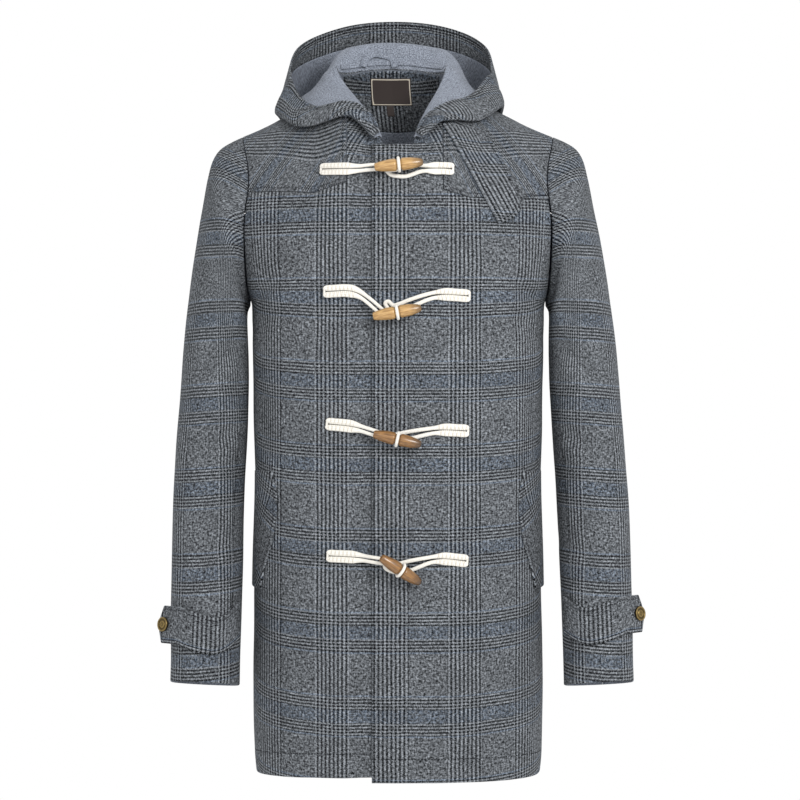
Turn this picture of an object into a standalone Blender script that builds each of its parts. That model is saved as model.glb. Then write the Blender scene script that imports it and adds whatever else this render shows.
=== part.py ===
"""A hooded toggle coat in checked wool, filled out as when worn, with nobody inside.

The coat faces -Y, its wearer's left is at +X and +Z is up. The origin is the middle
of the shoulder line, at the base of the neck. Tables are in millimetres and functions
give metres. The torso is one smooth surface, worked out from sections and the shoulder
line. The fronts, back, yoke and what lies on them are cut from it, and each cloth piece
is a closed wall whose outer face lies on its surface.
"""

import math
from typing import NamedTuple

import bmesh
import bpy
from mathutils import Vector

MM = 0.001

# Cloth and seams, in millimetres
CLOTH = 2.5
HOOD_SHELL = 1.8
HOOD_LINING = 1.5
FACING = 1.5
SEAM = 0.3
DOUBLED_CLOTH = 3.5

# Front closing: the wearer's left front laps over the right one
LAP_EDGE_X = -33.0
UNDER_EDGE_X = 30.0
LAP_RECESS = CLOTH + 1.0
YOKE_INNER_X = {-1: 66.0, 1: 58.0}  # by side, -1 is the viewer's left

CHEST_Z = -258.0  # level of the underarm
CORNER = 2.6  # exponent of the body's rounded section


class Section(NamedTuple):
    """The body at one height: half width, and depth in front and behind."""

    z: float
    half: float
    front: float
    back: float


SECTIONS = (
    Section(z=-885, half=186, front=133, back=136),
    Section(z=-872, half=188, front=135, back=137),
    Section(z=-845, half=190.5, front=137, back=138),
    Section(z=-780, half=192, front=138, back=138),
    Section(z=-650, half=191, front=137, back=135),
    Section(z=-516, half=189, front=134, back=130),
    Section(z=-410, half=192, front=136, back=130),
    Section(z=-300, half=193, front=139, back=133),
    Section(z=-258, half=194.5, front=140, back=133),
    Section(z=-235, half=202, front=140, back=133),
    Section(z=-205, half=210, front=140, back=132),
    Section(z=-170, half=219, front=140, back=132),
    Section(z=-140, half=226, front=140, back=131),
    Section(z=-104, half=236, front=140, back=131),
    Section(z=-60, half=240, front=140, back=131),
    Section(z=120, half=240, front=140, back=131),
)


class Shoulder(NamedTuple):
    """Height of the shoulder line at a distance from the middle, for each side of it."""

    x: float
    front: float
    back: float


SHOULDERS = (
    Shoulder(x=0, front=5, back=99),
    Shoulder(x=27, front=0, back=94),
    Shoulder(x=40, front=4, back=87),
    Shoulder(x=49, front=9, back=79),
    Shoulder(x=60, front=14, back=70),
    Shoulder(x=73, front=18, back=58),
    Shoulder(x=90, front=17, back=38),
    Shoulder(x=112, front=9, back=18),
    Shoulder(x=130, front=1, back=4),
    Shoulder(x=150, front=-8, back=-7),
    Shoulder(x=166, front=-16, back=-16),
    Shoulder(x=183, front=-24, back=-24),
    Shoulder(x=206, front=-33.5, back=-33.5),
    Shoulder(x=240, front=-48, back=-48),
)
NECK_RISE = 0.12  # share of the wrap in which the cloth rises to the side of the neck


class Roundness(NamedTuple):
    """Exponents of the profile from chest to shoulder line, across and up."""

    x: float
    across: float
    up: float


FRONT_ROUNDNESS = (
    Roundness(x=0, across=2.2, up=4.0),
    Roundness(x=49, across=2.2, up=4.0),
    Roundness(x=110, across=1.7, up=2.6),
    Roundness(x=240, across=1.7, up=2.6),
)
BACK_ROUNDNESS = (
    Roundness(x=0, across=2.0, up=2.6),
    Roundness(x=240, across=2.0, up=2.6),
)

# The upper coat sits a little towards the wearer's right
LEAN = -9.0
LEAN_FROM_Z, LEAN_TO_Z = -45.0, 60.0


class Smooth:
    """A smooth curve through a table's rows that doesn't swing past its values."""

    def __init__(self, keys, values):
        self.keys = [float(k) for k in keys]
        self.values = [float(v) for v in values]
        steps = [b - a for a, b in zip(self.keys, self.keys[1:])]
        rises = [
            (b - a) / step for a, b, step in zip(self.values, self.values[1:], steps)
        ]
        self.slopes = [rises[0]]
        for left, right in zip(rises, rises[1:]):
            same_way = left * right > 0
            self.slopes.append(2 * left * right / (left + right) if same_way else 0.0)
        self.slopes.append(rises[-1])

    def __call__(self, at):
        keys = self.keys
        if at <= keys[0]:
            return self.values[0]
        if at >= keys[-1]:
            return self.values[-1]
        i = max(k for k in range(len(keys) - 1) if keys[k] <= at)
        step = keys[i + 1] - keys[i]
        t = (at - keys[i]) / step
        rise = self.values[i + 1] - self.values[i]
        start, end = self.slopes[i] * step, self.slopes[i + 1] * step
        return (
            self.values[i]
            + t * start
            + t * t * (3 * rise - 2 * start - end)
            + t * t * t * (start + end - 2 * rise)
        )


def columns(rows, key, *names):
    """One smooth curve for each named column of a table."""
    keys = [getattr(row, key) for row in rows]
    return [Smooth(keys, [getattr(row, name) for row in rows]) for name in names]


HALF, FRONT_DEPTH, BACK_DEPTH = columns(
    sorted(SECTIONS), "z", "half", "front", "back"
)
FRONT_LINE, BACK_LINE = columns(SHOULDERS, "x", "front", "back")
FRONT_ACROSS, FRONT_UP = columns(FRONT_ROUNDNESS, "x", "across", "up")
BACK_ACROSS, BACK_UP = columns(BACK_ROUNDNESS, "x", "across", "up")
IN_FRONT, BEHIND = -1, 1


def blend(a, b, t):
    return a + (b - a) * t


def eased(at, start, end):
    """0 before start and 1 after end, with a smooth rise between."""
    t = min(1.0, max(0.0, (at - start) / (end - start)))
    return t * t * (3 - 2 * t)


def power(value, exponent):
    return math.copysign(abs(value) ** exponent, value)


# ---------------------------------------------------------------- the torso's surface


def depth_at(x, z, face):
    """Depth of the body's section at x, before the shoulders round it off."""
    depth = (FRONT_DEPTH if face == IN_FRONT else BACK_DEPTH)(z)
    share = min(1.0, abs(x) / HALF(z))
    return depth * (1 - share**CORNER) ** (1 / CORNER)


def line_at(x, face, wrap=1.0):
    """Height of the shoulder line at x. In front it rises near the line itself."""
    back = BACK_LINE(abs(x))
    if face == BEHIND:
        return back
    return blend(FRONT_LINE(abs(x)), back, math.exp(-((abs(wrap) / NECK_RISE) ** 1.3)))


def roundness_at(x, face):
    if face == IN_FRONT:
        return FRONT_ACROSS(abs(x)), FRONT_UP(abs(x))
    return BACK_ACROSS(abs(x)), BACK_UP(abs(x))


def rounding(x, z, face):
    """Share of the full depth that is left at height z, from 1 at the chest to 0."""
    if z <= CHEST_Z:
        return 1.0
    across, up = roundness_at(x, face)
    height = min(1.0, (z - CHEST_Z) / (line_at(x, face) - CHEST_Z))
    return (1 - height**up) ** (1 / across)


def settled(x, y, z):
    """A point in metres, moved by the lean of the upper coat."""
    lean = LEAN * eased(z, LEAN_FROM_Z, LEAN_TO_Z)
    return Vector((x + lean, y, z)) * MM


def torso(x, z, face):
    """The torso's surface in front or behind, by x and height."""
    y = face * depth_at(x, z, face) * rounding(x, z, face)
    return settled(x, y, z)


def torso_around(turn, z, face):
    """The same surface by the turn round its section, 0 at +X and 180 at -X."""
    angle = math.radians(turn)
    half = HALF(z)
    depth = (FRONT_DEPTH if face == IN_FRONT else BACK_DEPTH)(z)
    x = half * power(math.cos(angle), 2 / CORNER)
    y = face * depth * power(math.sin(angle), 2 / CORNER) * rounding(x, z, face)
    return settled(x, y, z)


def turn_at(x, z):
    """The turn at which the section is at x."""
    share = min(1.0, max(-1.0, x / HALF(z)))
    return math.degrees(math.acos(power(share, CORNER / 2)))


def wrapped(x, wrap):
    """The surface by its wrap over the shoulder: -1 chest, 0 shoulder line, 1 back."""
    face = IN_FRONT if wrap < 0 else BEHIND
    angle = math.radians(90 * abs(wrap))
    across, up = roundness_at(x, face)
    z = blend(CHEST_Z, line_at(x, face, wrap), math.cos(angle) ** (2 / up))
    y = face * depth_at(x, z, face) * math.sin(angle) ** (2 / across)
    return settled(x, y, z)


def wrap_at_height(x, z, face):
    _, up = roundness_at(x, face)
    height = min(1.0, (z - CHEST_Z) / (line_at(x, face) - CHEST_Z))
    return face * math.degrees(math.acos(height ** (up / 2))) / 90


def wrap_at_depth(x, y):
    """The wrap at which the surface is y away from the shoulder line."""
    low, high = (-1.0, 0.0) if y < 0 else (0.0, 1.0)
    for _ in range(40):
        middle = (low + high) / 2
        if wrapped(x, middle).y < y * MM:
            low = middle
        else:
            high = middle
    return (low + high) / 2


class Spot(NamedTuple):
    """A point of a surface, and the unit normal there, away from the coat's middle."""

    point: Vector
    normal: Vector


COAT_MIDDLE = Vector((0.0, 0.0, -0.3))


def spot_of(surface, u, v, du, dv):
    """A surface function's spot, with its normal from small steps either way."""
    point = surface(u, v)
    along = surface(u + du, v) - surface(u - du, v)
    across = surface(u, v + dv) - surface(u, v - dv)
    normal = along.cross(across).normalized()
    return Spot(point, normal if normal.dot(point - COAT_MIDDLE) > 0 else -normal)


def flat_spot(x, z, face):
    return spot_of(lambda u, v: torso(u, v, face), x, z, 0.5, 0.5)


def around_spot(turn, z, face):
    return spot_of(lambda u, v: torso_around(u, v, face), turn, z, 0.2, 0.5)


def wrap_spot(x, wrap):
    return spot_of(wrapped, x, wrap, 0.5, 0.004)


def on_torso(x, z, face, lift=0.0):
    """A point on the torso in front or behind, lifted off it by some millimetres."""
    spot = flat_spot(x, z, face)
    return spot.point + spot.normal * lift * MM


# ---------------------------------------------------------------- making solids


def material(name, colour, roughness, metallic=0.0):
    made = bpy.data.materials.new(name)
    made.use_nodes = True
    shader = made.node_tree.nodes["Principled BSDF"]
    shader.inputs["Base Color"].default_value = (*colour, 1.0)
    shader.inputs["Roughness"].default_value = roughness
    shader.inputs["Metallic"].default_value = metallic
    made.diffuse_color = (*colour, 1.0)
    return made


def add_solid(name, mesh, finish):
    """Close the bmesh's faces outward and add it as an object of its own."""
    bmesh.ops.recalc_face_normals(mesh, faces=mesh.faces)
    data = bpy.data.meshes.new(name)
    mesh.to_mesh(data)
    mesh.free()
    data.shade_smooth()
    data.set_sharp_from_angle(angle=math.radians(40))
    data.materials.append(finish)
    made = bpy.data.objects.new(name, data)
    bpy.context.scene.collection.objects.link(made)
    return made


def add_wall(name, outer, inner, finish, closed=False):
    """A closed wall between two equal grids of points. None leaves a point out.

    closed joins the last column to the first, as round a tube.
    """
    mesh = bmesh.new()
    corners = {}
    for layer, grid in enumerate((outer, inner)):
        for i, row in enumerate(grid):
            for j, point in enumerate(row):
                if point is not None:
                    corners[layer, i, j] = mesh.verts.new(point)
    wide = len(outer[0])
    quads = []
    for i in range(len(outer) - 1):
        for j in range(wide if closed else wide - 1):
            near = (j + 1) % wide
            quad = ((i, j), (i, near), (i + 1, near), (i + 1, j))
            if all(outer[a][b] is not None for a, b in quad):
                quads.append(quad)
    borders = {}
    for quad in quads:
        for corner in (1, 2):  # both layers are split along the same diagonal
            part = (quad[0], quad[corner], quad[corner + 1])
            mesh.faces.new([corners[0, a, b] for a, b in part])
            mesh.faces.new([corners[1, a, b] for a, b in reversed(part)])
        for start, end in zip(quad, quad[1:] + quad[:1]):
            if (end, start) in borders:
                del borders[end, start]
            else:
                borders[start, end] = True
    for start, end in borders:
        mesh.faces.new(
            [corners[0, *end], corners[0, *start], corners[1, *start], corners[1, *end]]
        )
    return add_solid(name, mesh, finish)


def add_sheet(name, spots, thick, finish, lift=0.0):
    """A wall whose outer face lies lift above a grid of spots. None leaves one out.

    lift is in millimetres, or a function that gives it for a point of the surface.
    """
    outer, inner = [], []
    for row in spots:
        outer.append([])
        inner.append([])
        for spot in row:
            if spot is None:
                outer[-1].append(None)
                inner[-1].append(None)
                continue
            height = lift(spot.point) if callable(lift) else lift
            outer[-1].append(spot.point + spot.normal * height * MM)
            inner[-1].append(spot.point + spot.normal * (height - thick) * MM)
    return add_wall(name, outer, inner, finish)


def add_tube(name, path, ups, widths, heights, finish, sides=5):
    """A closed ring of cord: its path comes back to its start.

    ups are the directions across the cord's height, widths and heights its half sizes.
    """
    mesh = bmesh.new()
    rings = []
    for i, centre in enumerate(path):
        along = (path[(i + 1) % len(path)] - path[i - 1]).normalized()
        across = along.cross(ups[i]).normalized()
        up = across.cross(along)
        ring = []
        for k in range(sides):
            angle = 2 * math.pi * (k + 0.5) / sides
            offset = across * widths[i] * math.cos(angle) + up * heights[i] * math.sin(angle)
            ring.append(mesh.verts.new(centre + offset * MM))
        rings.append(ring)
    for ring, after in zip(rings, rings[1:] + rings[:1]):
        for k in range(sides):
            near = (k + 1) % sides
            mesh.faces.new([ring[k], ring[near], after[near], after[k]])
    return add_solid(name, mesh, finish)


def add_turned(name, profile, centre, axis, finish, sides=12):
    """A solid turned about an axis, from rows of (distance along it, radius)."""
    mesh = bmesh.new()
    side = axis.orthogonal().normalized()
    other = axis.cross(side)
    rings = []
    for along, radius in profile:
        ring = []
        for k in range(sides):
            angle = 2 * math.pi * k / sides
            offset = (side * math.cos(angle) + other * math.sin(angle)) * radius
            ring.append(mesh.verts.new(centre + (axis * along + offset) * MM))
        rings.append(ring)
    for ring, after in zip(rings, rings[1:]):
        for k in range(sides):
            near = (k + 1) % sides
            mesh.faces.new([ring[k], ring[near], after[near], after[k]])
    mesh.faces.new(reversed(rings[0]))
    mesh.faces.new(rings[-1])
    return add_solid(name, mesh, finish)


# ---------------------------------------------------------------- neck and armholes


class NeckSpot(NamedTuple):
    """A point of the neck seam in plan, from the front end round to the back."""

    x: float
    y: float


NECK = (
    NeckSpot(x=20, y=-113),
    NeckSpot(x=27, y=-96),
    NeckSpot(x=38, y=-78),
    NeckSpot(x=50, y=-59),
    NeckSpot(x=60, y=-39),
    NeckSpot(x=68, y=-20),
    NeckSpot(x=72, y=-4),
    NeckSpot(x=73, y=12),
    NeckSpot(x=67, y=30),
    NeckSpot(x=50, y=46),
    NeckSpot(x=27, y=57),
    NeckSpot(x=0, y=60),
)
NECK_X, NECK_Y = (
    Smooth(range(len(NECK)), [spot[i] for spot in NECK]) for i in range(2)
)
BACK_OF_NECK = len(NECK) - 1


def neck_spot(station):
    """x and wrap of the neck seam, whose stations count from the front end."""
    x = NECK_X(station)
    return x, wrap_at_depth(x, NECK_Y(station))


def station_at(x):
    """The station at which the front half of the neck seam is x from the middle."""
    low, high = 0.0, 7.0
    for _ in range(40):
        middle = (low + high) / 2
        if NECK_X(middle) < x:
            low = middle
        else:
            high = middle
    return (low + high) / 2


class ArmholeSpot(NamedTuple):
    """Half width of the armhole's edge at one height, in front and behind."""

    z: float
    front: float
    back: float


ARMHOLE = (
    ArmholeSpot(z=CHEST_Z, front=194.5, back=194.5),
    ArmholeSpot(z=-235, front=196.5, back=197.5),
    ArmholeSpot(z=-205, front=198, back=199),
    ArmholeSpot(z=-170, front=198.5, back=199),
    ArmholeSpot(z=-145, front=197.5, back=198),
    ArmholeSpot(z=-124, front=194.5, back=197.5),
    ArmholeSpot(z=-104, front=192.5, back=198),
    ArmholeSpot(z=-80, front=194.5, back=199.5),
    ArmholeSpot(z=-56, front=200, back=202),
    ArmholeSpot(z=-33.5, front=206, back=206),
)
ARMHOLE_FRONT, ARMHOLE_BACK = columns(ARMHOLE, "z", "front", "back")
SHOULDER_X, SHOULDER_Z = 206.0, -33.5


def armhole_x(z, face):
    return (ARMHOLE_FRONT if face == IN_FRONT else ARMHOLE_BACK)(z)


def armhole_ring(count):
    """The armhole's edge on the +X side: count points from the shoulder, front first."""
    heights = [blend(SHOULDER_Z, CHEST_Z, i / 60) for i in range(61)]

    def half(face):
        line = []
        for z in heights:
            x = armhole_x(z, face)
            point = torso(x, z, face) if x < HALF(z) else settled(x, 0.0, z)
            if z == SHOULDER_Z or z == CHEST_Z:
                point.y = 0.0
            line.append(point)
        lengths = [0.0]
        for a, b in zip(line, line[1:]):
            lengths.append(lengths[-1] + (b - a).length)
        picked = []
        for k in range(count // 2 + 1):
            wanted = lengths[-1] * k / (count // 2)
            i = max(j for j in range(len(line)) if lengths[j] <= wanted + 1e-12)
            i = min(i, len(line) - 2)
            t = (wanted - lengths[i]) / (lengths[i + 1] - lengths[i])
            picked.append(line[i].lerp(line[i + 1], t))
        return picked

    front, back = half(IN_FRONT), half(BEHIND)
    return front + back[-2:0:-1]


# ---------------------------------------------------------------- fronts and back


class SeamSpot(NamedTuple):
    """The yoke's lower seam in front: height at a distance from the middle."""

    x: float
    z: float


YOKE_SEAM = {
    -1: (SeamSpot(66, -107), SeamSpot(107, -119), SeamSpot(187, -114)),
    1: (SeamSpot(58, -117), SeamSpot(90, -126), SeamSpot(187, -124)),
}
YOKE_BACK_Z = -165.0
HEM_SIDE, HEM_FRONT, HEM_UNDER, HEM_BACK = -873.0, -866.0, -860.0, -872.0
FRONT_TOP_Z = -57.0  # top edge of the fronts between the hood's two ends
BODY_ROWS = (-780, -650, -583, -516, -410, -300, -258, -235)
CHEST_ROWS = (-205, -170, -145)
EDGE_COLUMNS = 4  # from the yoke's inner edge to the front edge
BEND_COLUMNS = 3  # from the yoke's inner edge to the bend of its seam
SIDE_COLUMNS = 8  # from there to the armhole
NECK_ROWS = 8
BACK_COLUMNS = 18


def seam_spots(side):
    """Points of the yoke's lower seam in front, from its inner edge to the armhole."""
    inner, bend, corner = YOKE_SEAM[side]
    corner = SeamSpot(armhole_x(corner.z, IN_FRONT), corner.z)
    spots = []
    for a, b, count in ((inner, bend, BEND_COLUMNS), (bend, corner, SIDE_COLUMNS)):
        for k in range(count):
            t = k / count
            spots.append(SeamSpot(blend(a.x, b.x, t), blend(a.z, b.z, t)))
    return [*spots, corner]


def front_top(side, x):
    """Wrap of a front's top edge: the neck seam, and level between the hood's ends."""
    if side * x <= NECK[0].x:
        covered = side == -1 and x > 0
        return wrap_at_height(x, FRONT_TOP_Z - (8 if covered else 0), IN_FRONT)
    return neck_spot(station_at(abs(x)))[1]


def first_turn(z, face):
    """Turn of a panel's edge on the +X side: half a seam, or the armhole."""
    if z > CHEST_Z:
        return turn_at(armhole_x(z, face), z)
    depth = (FRONT_DEPTH if face == IN_FRONT else BACK_DEPTH)(z)
    return math.degrees(math.asin((SEAM / 2 / depth) ** (CORNER / 2)))


def build_front(side, finish):
    """One front, from its side seam to its front edge. Side 1 laps over side -1."""
    lapping = side == 1
    edge_x = LAP_EDGE_X if lapping else UNDER_EDGE_X
    seam = seam_spots(side)[::-1]

    def recess(point):
        under = eased(point.x / MM, LAP_EDGE_X - 40, LAP_EDGE_X - 4)
        return 0.0 if lapping else -LAP_RECESS * under

    seam_turns = [turn_at(side * spot.x, spot.z) for spot in seam]
    shares = [
        (turn - seam_turns[0]) / (seam_turns[-1] - seam_turns[0]) for turn in seam_turns
    ]
    edge_shares = [(j + 1) / EDGE_COLUMNS for j in range(EDGE_COLUMNS)]

    def turns(z):
        start = first_turn(z, IN_FRONT)
        start = start if lapping else 180 - start
        middle, end = turn_at(side * YOKE_INNER_X[side], z), turn_at(edge_x, z)
        wide = [blend(start, middle, share) for share in shares]
        return wide + [blend(middle, end, share) for share in edge_shares]

    hem_front = HEM_FRONT if lapping else HEM_UNDER
    rows = [
        [
            (turn, blend(HEM_SIDE, hem_front, math.sin(math.radians(turn))))
            for turn in turns(HEM_FRONT)
        ]
    ]
    rows += [[(turn, level) for turn in turns(level)] for level in (*BODY_ROWS, *CHEST_ROWS)]
    base_z = YOKE_SEAM[side][0].z - SEAM
    inner_x = side * (YOKE_INNER_X[side] - 2.5 * SEAM)
    xs = [inner_x] + [blend(inner_x, edge_x, share) for share in edge_shares]
    row = [(turn, spot.z - SEAM) for turn, spot in zip(seam_turns[:-1], seam)]
    rows.append(row + [(turn_at(x, base_z), base_z) for x in xs])
    spots = [[around_spot(*place, IN_FRONT) for place in row] for row in rows]
    for k in range(1, NECK_ROWS + 1):
        row = [None] * (len(seam) - 1)
        for x in xs:
            base = wrap_at_height(x, base_z, IN_FRONT)
            row.append(wrap_spot(x, blend(base, front_top(side, x), k / NECK_ROWS)))
        spots.append(row)
    name = "front_left" if lapping else "front_right"
    add_sheet(name, spots, CLOTH, finish, lift=recess)


def build_back(finish):
    """The back, in one piece below the yoke."""
    spots = []
    for level in (None, *BODY_ROWS, -200, YOKE_BACK_Z - SEAM):
        start = first_turn(HEM_BACK if level is None else level, BEHIND)
        row = []
        for j in range(BACK_COLUMNS + 1):
            turn = blend(start, 180 - start, j / BACK_COLUMNS)
            hem = blend(HEM_SIDE, HEM_BACK, math.sin(math.radians(turn)))
            row.append(around_spot(turn, hem if level is None else level, BEHIND))
        spots.append(row)
    add_sheet("back", spots, CLOTH, finish)


class Spoke(NamedTuple):
    """A line of the yoke from the neck seam out to its edge."""

    station: float  # along the neck seam
    x: float
    z: float
    face: int


def yoke_spokes(side):
    """The yoke's lines on one side, from its front edge round to the middle back."""
    seam = seam_spots(side)
    start = station_at(YOKE_INNER_X[side])
    front = [
        Spoke(blend(start, 5.9, j / (len(seam) - 1)), spot.x, spot.z, IN_FRONT)
        for j, spot in enumerate(seam)
    ]
    return (
        *front,
        Spoke(6.3, armhole_x(-80, IN_FRONT), -80, IN_FRONT),
        Spoke(6.7, armhole_x(-56, IN_FRONT), -56, IN_FRONT),
        Spoke(7.0, SHOULDER_X, SHOULDER_Z, IN_FRONT),
        Spoke(7.4, armhole_x(-60, BEHIND), -60, BEHIND),
        Spoke(7.8, armhole_x(-90, BEHIND), -90, BEHIND),
        Spoke(8.2, armhole_x(-125, BEHIND), -125, BEHIND),
        Spoke(8.6, armhole_x(YOKE_BACK_Z, BEHIND), YOKE_BACK_Z, BEHIND),
        Spoke(9.2, 145, YOKE_BACK_Z, BEHIND),
        Spoke(9.9, 90, YOKE_BACK_Z, BEHIND),
        Spoke(10.5, 44, YOKE_BACK_Z, BEHIND),
        Spoke(BACK_OF_NECK, 0, YOKE_BACK_Z, BEHIND),
    )


YOKE_ROWS = 8


def build_yoke(finish):
    """The yoke: one piece over both shoulders, across the back and down each front."""
    spots = []
    for side in (-1, 1):
        half = []
        for spoke in yoke_spokes(side):
            near_x, near_wrap = neck_spot(spoke.station)
            far_wrap = wrap_at_height(spoke.x, spoke.z, spoke.face)
            line = []
            for k in range(YOKE_ROWS + 1):
                t = k / YOKE_ROWS
                x = side * blend(near_x, spoke.x, t)
                line.append(wrap_spot(x, blend(near_wrap, far_wrap, t)))
            half.append(line)
        spots += half if side == -1 else half[-2::-1]
    add_sheet("yoke", spots, CLOTH, finish)


# ---------------------------------------------------------------- sleeves


class SleeveRing(NamedTuple):
    """A section of the sleeve: its outer and underarm points, depth and tilt."""

    outer_x: float
    outer_z: float
    inner_x: float
    inner_z: float
    centre_y: float
    half_depth: float
    rise: float  # how much higher the front edge is, per unit of depth
    armhole: float  # share of the armhole's own shape that is kept


SLEEVE = (
    SleeveRing(206.5, -33.8, 197, -257, 0, 70, 0, 1),
    SleeveRing(222, -41, 199, -263, -3, 75, 0, 0.72),
    SleeveRing(236, -51, 200.5, -270, -4, 79, 0, 0.45),
    SleeveRing(245, -66, 201, -279, -4, 81, 0, 0.22),
    SleeveRing(251, -90, 200.5, -291, -4, 81, 0, 0.08),
    SleeveRing(258, -127, 199.5, -308, -3, 79, 0, 0),
    SleeveRing(267, -175, 198.5, -330, -2, 77, 0, 0),
    SleeveRing(276, -236, 198, -360, -2, 74, 0, 0),
    SleeveRing(283.5, -305, 198.5, -398, -4, 71, 0.02, 0),
    SleeveRing(289, -383, 200, -446, -9, 67, 0.04, 0),
    SleeveRing(293.5, -463, 202, -505, -18, 63, 0.08, 0),
    SleeveRing(296, -552, 203, -580, -33, 59, 0.12, 0),
    SleeveRing(295.5, -645, 203.5, -660, -52, 56, 0.16, 0),
    SleeveRing(294, -722, 204, -730, -69, 53, 0.19, 0),
    SleeveRing(294, -747, 204, -751, -74, 52, 0.19, 0),
)
SLEEVE_CURVES = {
    name: Smooth(range(len(SLEEVE)), [getattr(ring, name) for ring in SLEEVE])
    for name in SleeveRing._fields
}
CUFF_RING = len(SLEEVE) - 1
FRONT_SEAM, BACK_SEAM = 141.4, 282.8  # turns of the two lengthwise seams
SWING = 10.0  # how much further out the sleeve at +X hangs at its cuff
NESTLE = 14.0  # how far the front of the upper sleeve curls in over the chest
ARMHOLE_POINTS = armhole_ring(120)
ARMHOLE_GAP = 0.9
UPPER_SLEEVE_RINGS = 7.0


def sleeve_point(side, turn, ring):
    """The sleeve by turn (0 outer, 90 front, 180 underarm) and ring number."""
    at = {name: curve(ring) for name, curve in SLEEVE_CURVES.items()}
    angle = math.radians(turn)
    cosine, sine = math.cos(angle), math.sin(angle)
    exponent = 2 / blend(2.35, 2.1, min(1.0, ring / CUFF_RING))
    out, fore = power(cosine, exponent), power(sine, exponent)
    x = blend(at["inner_x"], at["outer_x"], (1 + out) / 2)
    z = blend(at["inner_z"], at["outer_z"], (1 + out) / 2)
    y = at["centre_y"] - at["half_depth"] * fore
    z += at["rise"] * at["half_depth"] * fore
    if sine > 0 > cosine:
        share = eased(ring, 1.0, 4.0) * (1 - eased(ring, UPPER_SLEEVE_RINGS, 10.0))
        x += NESTLE * sine * cosine * share
    point = Vector((x, y, z)) * MM
    if at["armhole"] > 0:
        base = sleeve_ellipse_start(turn)
        point += (armhole_point(turn) - base) * at["armhole"]
    swing = SWING * eased(ring, 3.0, CUFF_RING) if side == 1 else 0.0
    point.x = side * (point.x + swing * MM)
    return point


def sleeve_frame(side, turn, ring):
    """A point of the sleeve and its unit normal."""
    low, high = max(ring - 0.02, 0.0), min(ring + 0.02, float(CUFF_RING))
    along = sleeve_point(side, turn, high) - sleeve_point(side, turn, low)
    across = sleeve_point(side, turn + 0.5, ring) - sleeve_point(side, turn - 0.5, ring)
    normal = across.cross(along).normalized() * side
    if ring == 0:
        normal.x = 0.0
        normal.normalize()
    return sleeve_point(side, turn, ring), normal


def sleeve_ellipse_start(turn):
    """Where the plain ellipse of the first ring would be, before the armhole's shape."""
    first = SLEEVE[0]
    angle = math.radians(turn)
    exponent = 2 / 2.35
    out, fore = power(math.cos(angle), exponent), power(math.sin(angle), exponent)
    x = blend(first.inner_x, first.outer_x, (1 + out) / 2)
    z = blend(first.inner_z, first.outer_z, (1 + out) / 2)
    return Vector((x, first.centre_y - first.half_depth * fore, z)) * MM


def armhole_point(turn):
    """The armhole's edge by turn, set off from the body by the seam."""
    place = (turn % 360) / 360 * len(ARMHOLE_POINTS)
    i = int(place)
    a = ARMHOLE_POINTS[i % len(ARMHOLE_POINTS)]
    b = ARMHOLE_POINTS[(i + 1) % len(ARMHOLE_POINTS)]
    low = (1 - math.cos(math.radians(turn))) / 2
    return a.lerp(b, place - i) + Vector((ARMHOLE_GAP + 2.0 * low, 0, 0)) * MM


def build_sleeve(side, top_finish):
    """A sleeve in two pieces, the wide top sleeve and the under sleeve."""
    name = "sleeve_left" if side == 1 else "sleeve_right"
    sliver = 0.4
    pieces = {
        "top": (BACK_SEAM - 360 + sliver, FRONT_SEAM - sliver, 14),
        "under": (FRONT_SEAM + sliver, BACK_SEAM - sliver, 9),
    }

    for piece, (start, end, count) in pieces.items():
        outer, inner = [], []
        for ring in range(CUFF_RING + 1):
            row, behind = [], []
            for j in range(count + 1):
                point, normal = sleeve_frame(side, blend(start, end, j / count), ring)
                row.append(point)
                behind.append(point - normal * CLOTH * MM)
            outer.append(row)
            inner.append(behind)
        add_wall(f"{name}_{piece}", outer, inner, top_finish)


# ---------------------------------------------------------------- hood


class HoodStation(NamedTuple):
    """A line of the hood from the neck seam over its fold to its face edge."""

    neck: float  # station of the neck seam
    ridge: tuple  # top of the standing part at the neck
    bag: tuple  # lowest line of the fallen hood
    edge: tuple  # face edge


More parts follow.
